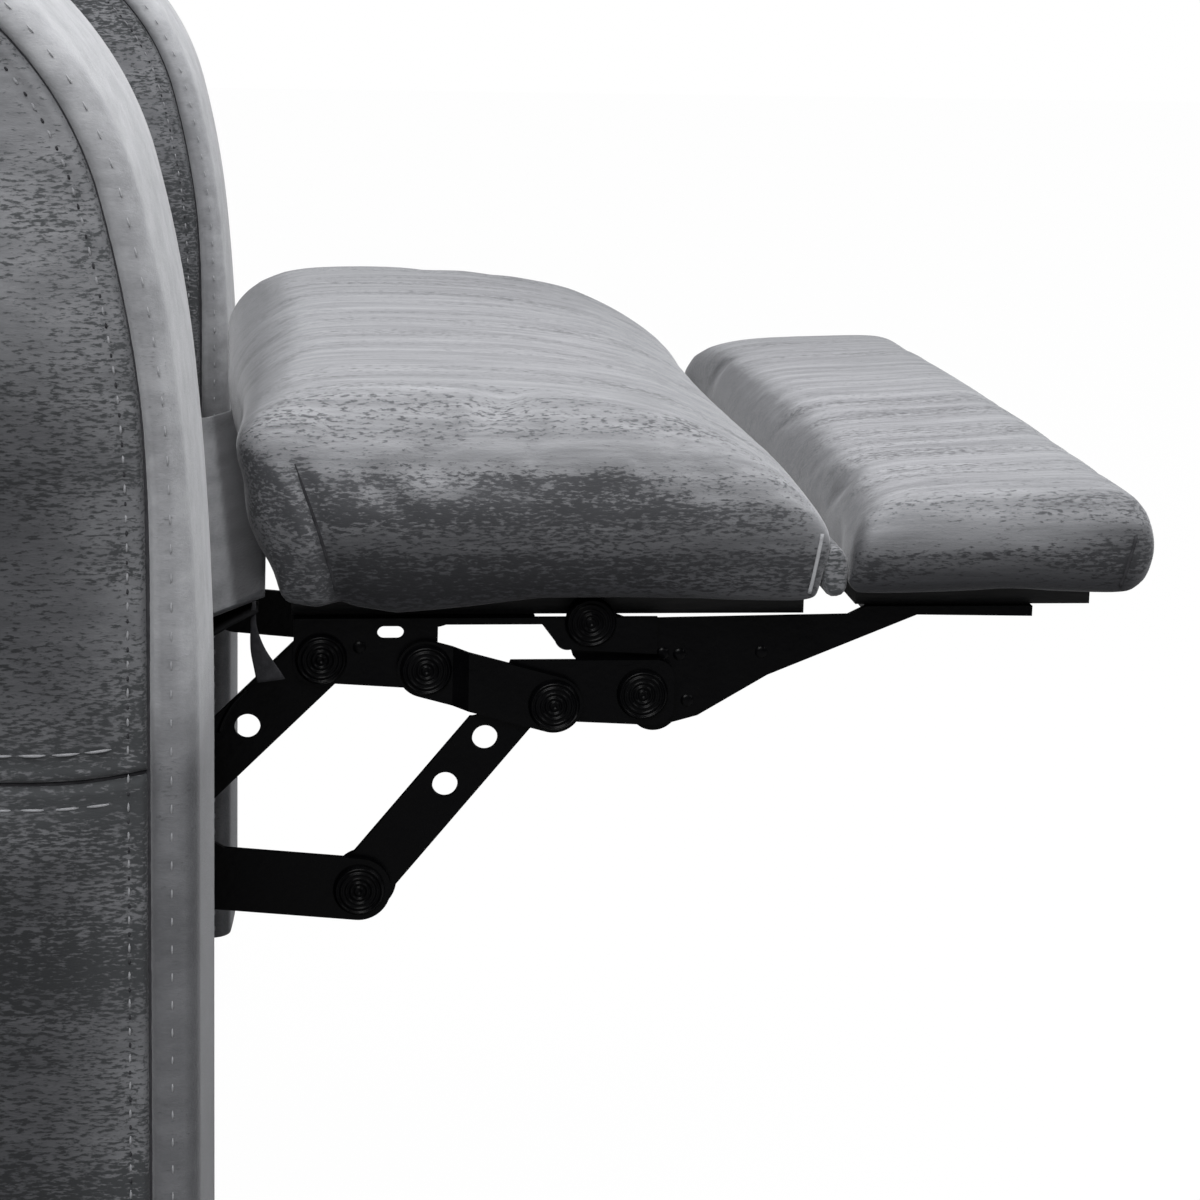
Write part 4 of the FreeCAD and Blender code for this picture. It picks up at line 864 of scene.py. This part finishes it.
# Back: three stuffed sections, one above the other, sewn to each other in deep creases. They are
# shaped upright, rear face on the back frame, then leant 18.5 degrees back about the hinge.
hinge_x, hinge_z, back_lean = -366.5, 372.0, math.radians(18.5)


def leaned(points):
    """From the back's own upright frame to where it stands, in millimetres."""
    c, s = math.cos(back_lean), math.sin(back_lean)
    return np.column_stack([points[:, 0] * c - points[:, 2] * s + hinge_x, points[:, 1],
                            points[:, 0] * s + points[:, 2] * c + hinge_z])


back_sections = (
    ("lumbar", 62.5, 290.5, [
        (-24, 72, 4), (-21, 65, 4), (20, 64, 10), (52, 65, 16), (77, 80, 24), (88, 120, 32), (90, 180, 36),
        (87, 235, 32), (76, 270, 22), (52, 287, 16), (20, 289, 10), (-20, 289, 4), (-24, 282, 4), (-24, 180, 4)]),
    ("middle_back", 291.5, 470.5, [
        (-24, 301, 4), (-20, 294, 4), (22, 293, 10), (54, 295, 16), (75, 314, 22), (81, 350, 30),
        (81, 396, 32), (76, 438, 24), (56, 464, 16), (24, 468, 10), (-20, 468, 4), (-24, 460, 4), (-24, 380, 4)]),
    ("head", 471.5, 673.0, [
        (-24, 481, 4), (-20, 474, 4), (26, 473, 10), (60, 475, 18), (84, 494, 26), (92, 532, 34),
        (91, 580, 38), (82, 626, 36), (60, 656, 28), (24, 667, 18), (-14, 668, 8), (-24, 660, 5), (-24, 570, 4)]))
for name, low, high, outline in back_sections:
    form = stuffed_form(even_line(outline, 100), half_width=264.0, spacing=12.0, bulge=1.0)
    cushion = piece(name + "_cover", form, top_velvet)
    points = settle(swollen(cushion, voxel=0.006, cap=0.024), (-0.0245, -0.2672, low / 1000),
                    (0.112, 0.2672, high / 1000), soft=0.002) * 1000
    # The creases pull the front into small folds that run up and down and fade over 30 mm
    for edge in (low, high):
        pulled = np.exp(-((points[:, 2] - edge) / 26.0) ** 2) * eased(points[:, 0], 0.0, 40.0)
        points[:, 0] -= pulled * (2.0 + 2.0 * np.cos(points[:, 1] / 5.3 + 1.6 * np.sin(points[:, 1] / 41.0)))
    finished(cushion, leaned(points) / 1000, name + "_cushion", "back")

# Behind them, a plain cloth is stretched over the back frame
backing_line = np.array([(-26.6, 64.0), (-26.6, 664.0), (-25.2, 664.0), (-25.2, 64.0)])
backing = piece("back_backing", section_form(backing_line, half_width=258.5, edge=0.5, spacing=40.0), seam_shade_black_cloth)
put(backing, leaned(points_of(backing)) / 1000)
backing.data.shade_flat()
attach(backing, "back")

# Rear cover: one sheet of velvet over thin wadding, from the seat up the back's rear face and over
# its top edge, with narrow padded strips up both sides of the back frame.
cover_line = even_line([
    (-73, -196), (-73, -100), (-73, 0), (-73, 150), (-73, 300), (-73, 450), (-73, 560), (-72.4, 622),
    (-68, 650), (-50, 663), (-28, 667), (-26.2, 670), (-30, 673.4), (-56, 670), (-75, 655), (-82.4, 625),
    (-83, 560), (-83, 450), (-83, 300), (-83, 150), (-83, 0), (-83, -100), (-83, -194), (-80, -199.5),
    (-75.5, -199.5)], 300)
rear = piece("rear_velvet", section_form(cover_line, half_width=267.5, edge=4.0, spacing=12.0), shaded_side_velvet)
points = points_of(rear)
crown = np.cos(np.pi * points[:, 1] / 536) * np.sin(np.pi * np.clip((points[:, 2] + 200) / 860, 0, 1))
points[:, 0] -= 4.0 * eased(-points[:, 0], 76.0, 82.0) * crown
put(rear, leaned(points) / 1000)
# Flecks and an even painted shade over the whole rear cover.
flecks_and_shade(rear, 0.4 + 0 * crown, 0.3 + 0 * crown)
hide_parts("back_rear_cover")
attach(rear, "back")
columns = -72.0 + 47.0 * spread(16)
for side_name, sign in (("right", -1), ("left", 1)):
    strip_cover = panel_cover(side_name + "_back_strip", columns, np.full(16, 30.5), np.full(16, 617.5),
                              sign * 267.6, sign * 259.2)
    put(strip_cover, leaned(points_of(strip_cover)) / 1000)
    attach(strip_cover, "back")
    if sign < 0:
        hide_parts("back_side_panels")


# Linkage: pressed steel links and brackets under black powder coat with a faint orange peel and rubbed
# patches. Their shapes are the CAD's own.
painted, tree, place = surface("black_powder_coated_steel")
peel, wear = noise(tree, place, 260.0, 3.0), noise(tree, place, 45.0, 5.0, 0.7)
shaded(tree, toned(tree, wear, "#020203", "#050506", 0.35, 0.8), between(tree, wear, 0.2, 0.42),
       bumped(tree, peel, 0.25, 0.0008), {"Specular IOR Level": 0.08})


def finish_nodes(names, material):
    for name in names:
        mesh = nodes[name].data
        if mesh.materials:
            mesh.materials[0] = material
        else:
            mesh.materials.append(material)


for side_name in ("right_", "left_"):
    finish_nodes([side_name + name for name in ("rear_link", "front_link", "footrest_bracket", "flip_bracket",
                                                "lower_link", "short_link", "side_plate")], painted)
finish_nodes(("rear_link_rivets", "bracket_rivets", "lower_link_rivets", "short_link_rivets", "drive_tube",
              "drive_links", "side_lever", "lever_bolt", "plate_bolts", "back_brackets",
              "back_hinge_pins"), painted)


def lathe(profile, centre, y, way, segments=36):
    """A turned form on the Y axis: profile of (radius, height), its base at y, rising the given way."""
    profile = np.array(profile)
    turns = np.arange(segments) * 2 * np.pi / segments
    grid = np.stack([centre[0] + profile[:, :1] * np.cos(turns), y + way * profile[:, 1:] + 0 * turns,
                     centre[1] + profile[:, :1] * np.sin(turns)], -1)
    return strip(grid, close_columns=True)


# Rivet heads: spun shoulder rivets, four rings left by the heading tool around a small hollow. Each
# stands on the outer face of its link or bracket, on both sides of the chair.
radii = np.linspace(10.4, 1.6, 34)
head = [(11.7, 0.02), (11.7, 0.8), (11.3, 1.5), (10.8, 2.2)]
head += [(r, 2.62 + 0.36 * math.cos(2 * math.pi * (r - 10.4) / 2.2)) for r in radii]
head += [(0.9, 2.2), (0.0, 2.1)]
# Each body's rivets: the pivot's x and z, and how far out from the middle the head sits
rivet_places = {"rear_link": [(303.0, 271.2, 254.0), (205.86, 299.25, 258.0)],
                "footrest": [(285.3, 377.5, 247.0), (332.4, 373.1, 250.5), (406.9, 394.1, 247.0)],
                "short_link": [(390.3, 357.3, 254.0)],
                "lower_link": [(430.9, 361.2, 250.5)]}
for body, places in rivet_places.items():
    turned = [lathe(head, (x, z), sign * out, sign) for x, z, out in places for sign in (-1, 1)]
    heads = piece(body + "_rivet_heads", turned, painted)
    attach(heads, body)

# Stamped marks: low round bosses pressed in the brackets and a curved rib in each front link, all on
# the faces turned outwards.
boss = [(3.0, 0.0), (2.6, 0.5), (1.6, 0.9), (0.0, 1.05)]
stamped = {"flip": [(448.4, 377.9, 243.5), (440.8, 378.3, 243.5), (452.5, 356.2, 243.5), (486.2, 378.8, 243.5)],
           "footrest": [(302.5, 382.8, 247.0)]}
for body, places in stamped.items():
    turned = [lathe(boss, (x, z), sign * (out - 0.05), sign, 20) for x, z, out in places for sign in (-1, 1)]
    bosses = piece(body + "_stamped_bosses", turned, painted)
    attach(bosses, body)
rib_line = open_line([(252.2, 362.6), (246.1, 356.1), (241.5, 348.0), (239.7, 342.6)], 16)
ribs = bead(in_side_view(rib_line, -243.4), 1.1) + bead(in_side_view(rib_line, 243.4), 1.1)
ribs = piece("front_link_ribs", ribs, painted)
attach(ribs, "front_link")


# Timber: sawn softwood rails and posts, plywood arm boards, and black-stained boards under the pads.
# The grain runs along each rail and post, and from front to back on the boards.
def timber(name, pale, deep, lay):
    """Wood: grain lines stretched along one axis, darker late growth, and fine pores."""
    material, tree, place = surface(name)
    drawn = stretched(tree, place, lay)
    grain, pores = noise(tree, drawn, 60.0, 6.0, 0.6, 0.6), noise(tree, drawn, 700.0, 2.0)
    shaded(tree, toned(tree, grain, deep, pale, 0.35, 0.62), between(tree, pores, 0.55, 0.8),
           bumped(tree, pores, 0.3, 0.0005), {})
    return material


along_x, along_y, along_z = (0.08, 1.0, 1.0), (1.0, 0.08, 1.0), (1.0, 1.0, 0.08)
pine_x, pine_y, pine_z = (timber("pine_" + axis, "#c4a077", "#a37c50", lay)
                          for axis, lay in (("x", along_x), ("y", along_y), ("z", along_z)))
plywood = timber("poplar_plywood", "#cdb089", "#b3905f", along_x)
stained = timber("black_stained_plywood", "#141415", "#08080a", along_x)
finish_nodes(("base_side_rails", "seat_side_rails"), pine_x)
finish_nodes(("base_cross_rails", "back_cross_rails", "seat_front_rail", "seat_rear_rail"), pine_y)
finish_nodes(("right_arm_frame", "left_arm_frame", "back_posts"), pine_z)
finish_nodes(("right_arm_outer_board", "left_arm_outer_board", "right_arm_inner_board",
              "left_arm_inner_board"), plywood)
finish_nodes(("footrest_board", "flip_board"), stained)


# Wire, screws and feet: drawn spring steel, zinc-plated screws and moulded glides, each with a faint
# mottle.
def simple(name, pale, deep, metal, low_gloss, high_gloss, scale):
    """A material mottled between two colours and two roughnesses by one noise."""
    material, tree, place = surface(name)
    mottle = noise(tree, place, scale, 4.0)
    shaded(tree, toned(tree, mottle, deep, pale, 0.35, 0.65), between(tree, mottle, low_gloss, high_gloss),
           bumped(tree, mottle, 0.2, 0.0003), {"Metallic": metal})
    return material


wire = simple("drawn_spring_wire", "#8e8f92", "#6c6d70", 1.0, 0.25, 0.4, 90.0)
zinc = simple("zinc_plated_screws", "#c8cace", "#9fa2a8", 1.0, 0.2, 0.38, 160.0)
plastic = simple("black_moulded_plastic", "#1a1a1c", "#101011", 0.0, 0.4, 0.6, 120.0)
finish_nodes(("seat_springs", "back_springs", "return_springs"), wire)
finish_nodes(("footrest_board_screws", "flip_board_screws"), zinc)
finish_nodes(("floor_glides",), plastic)
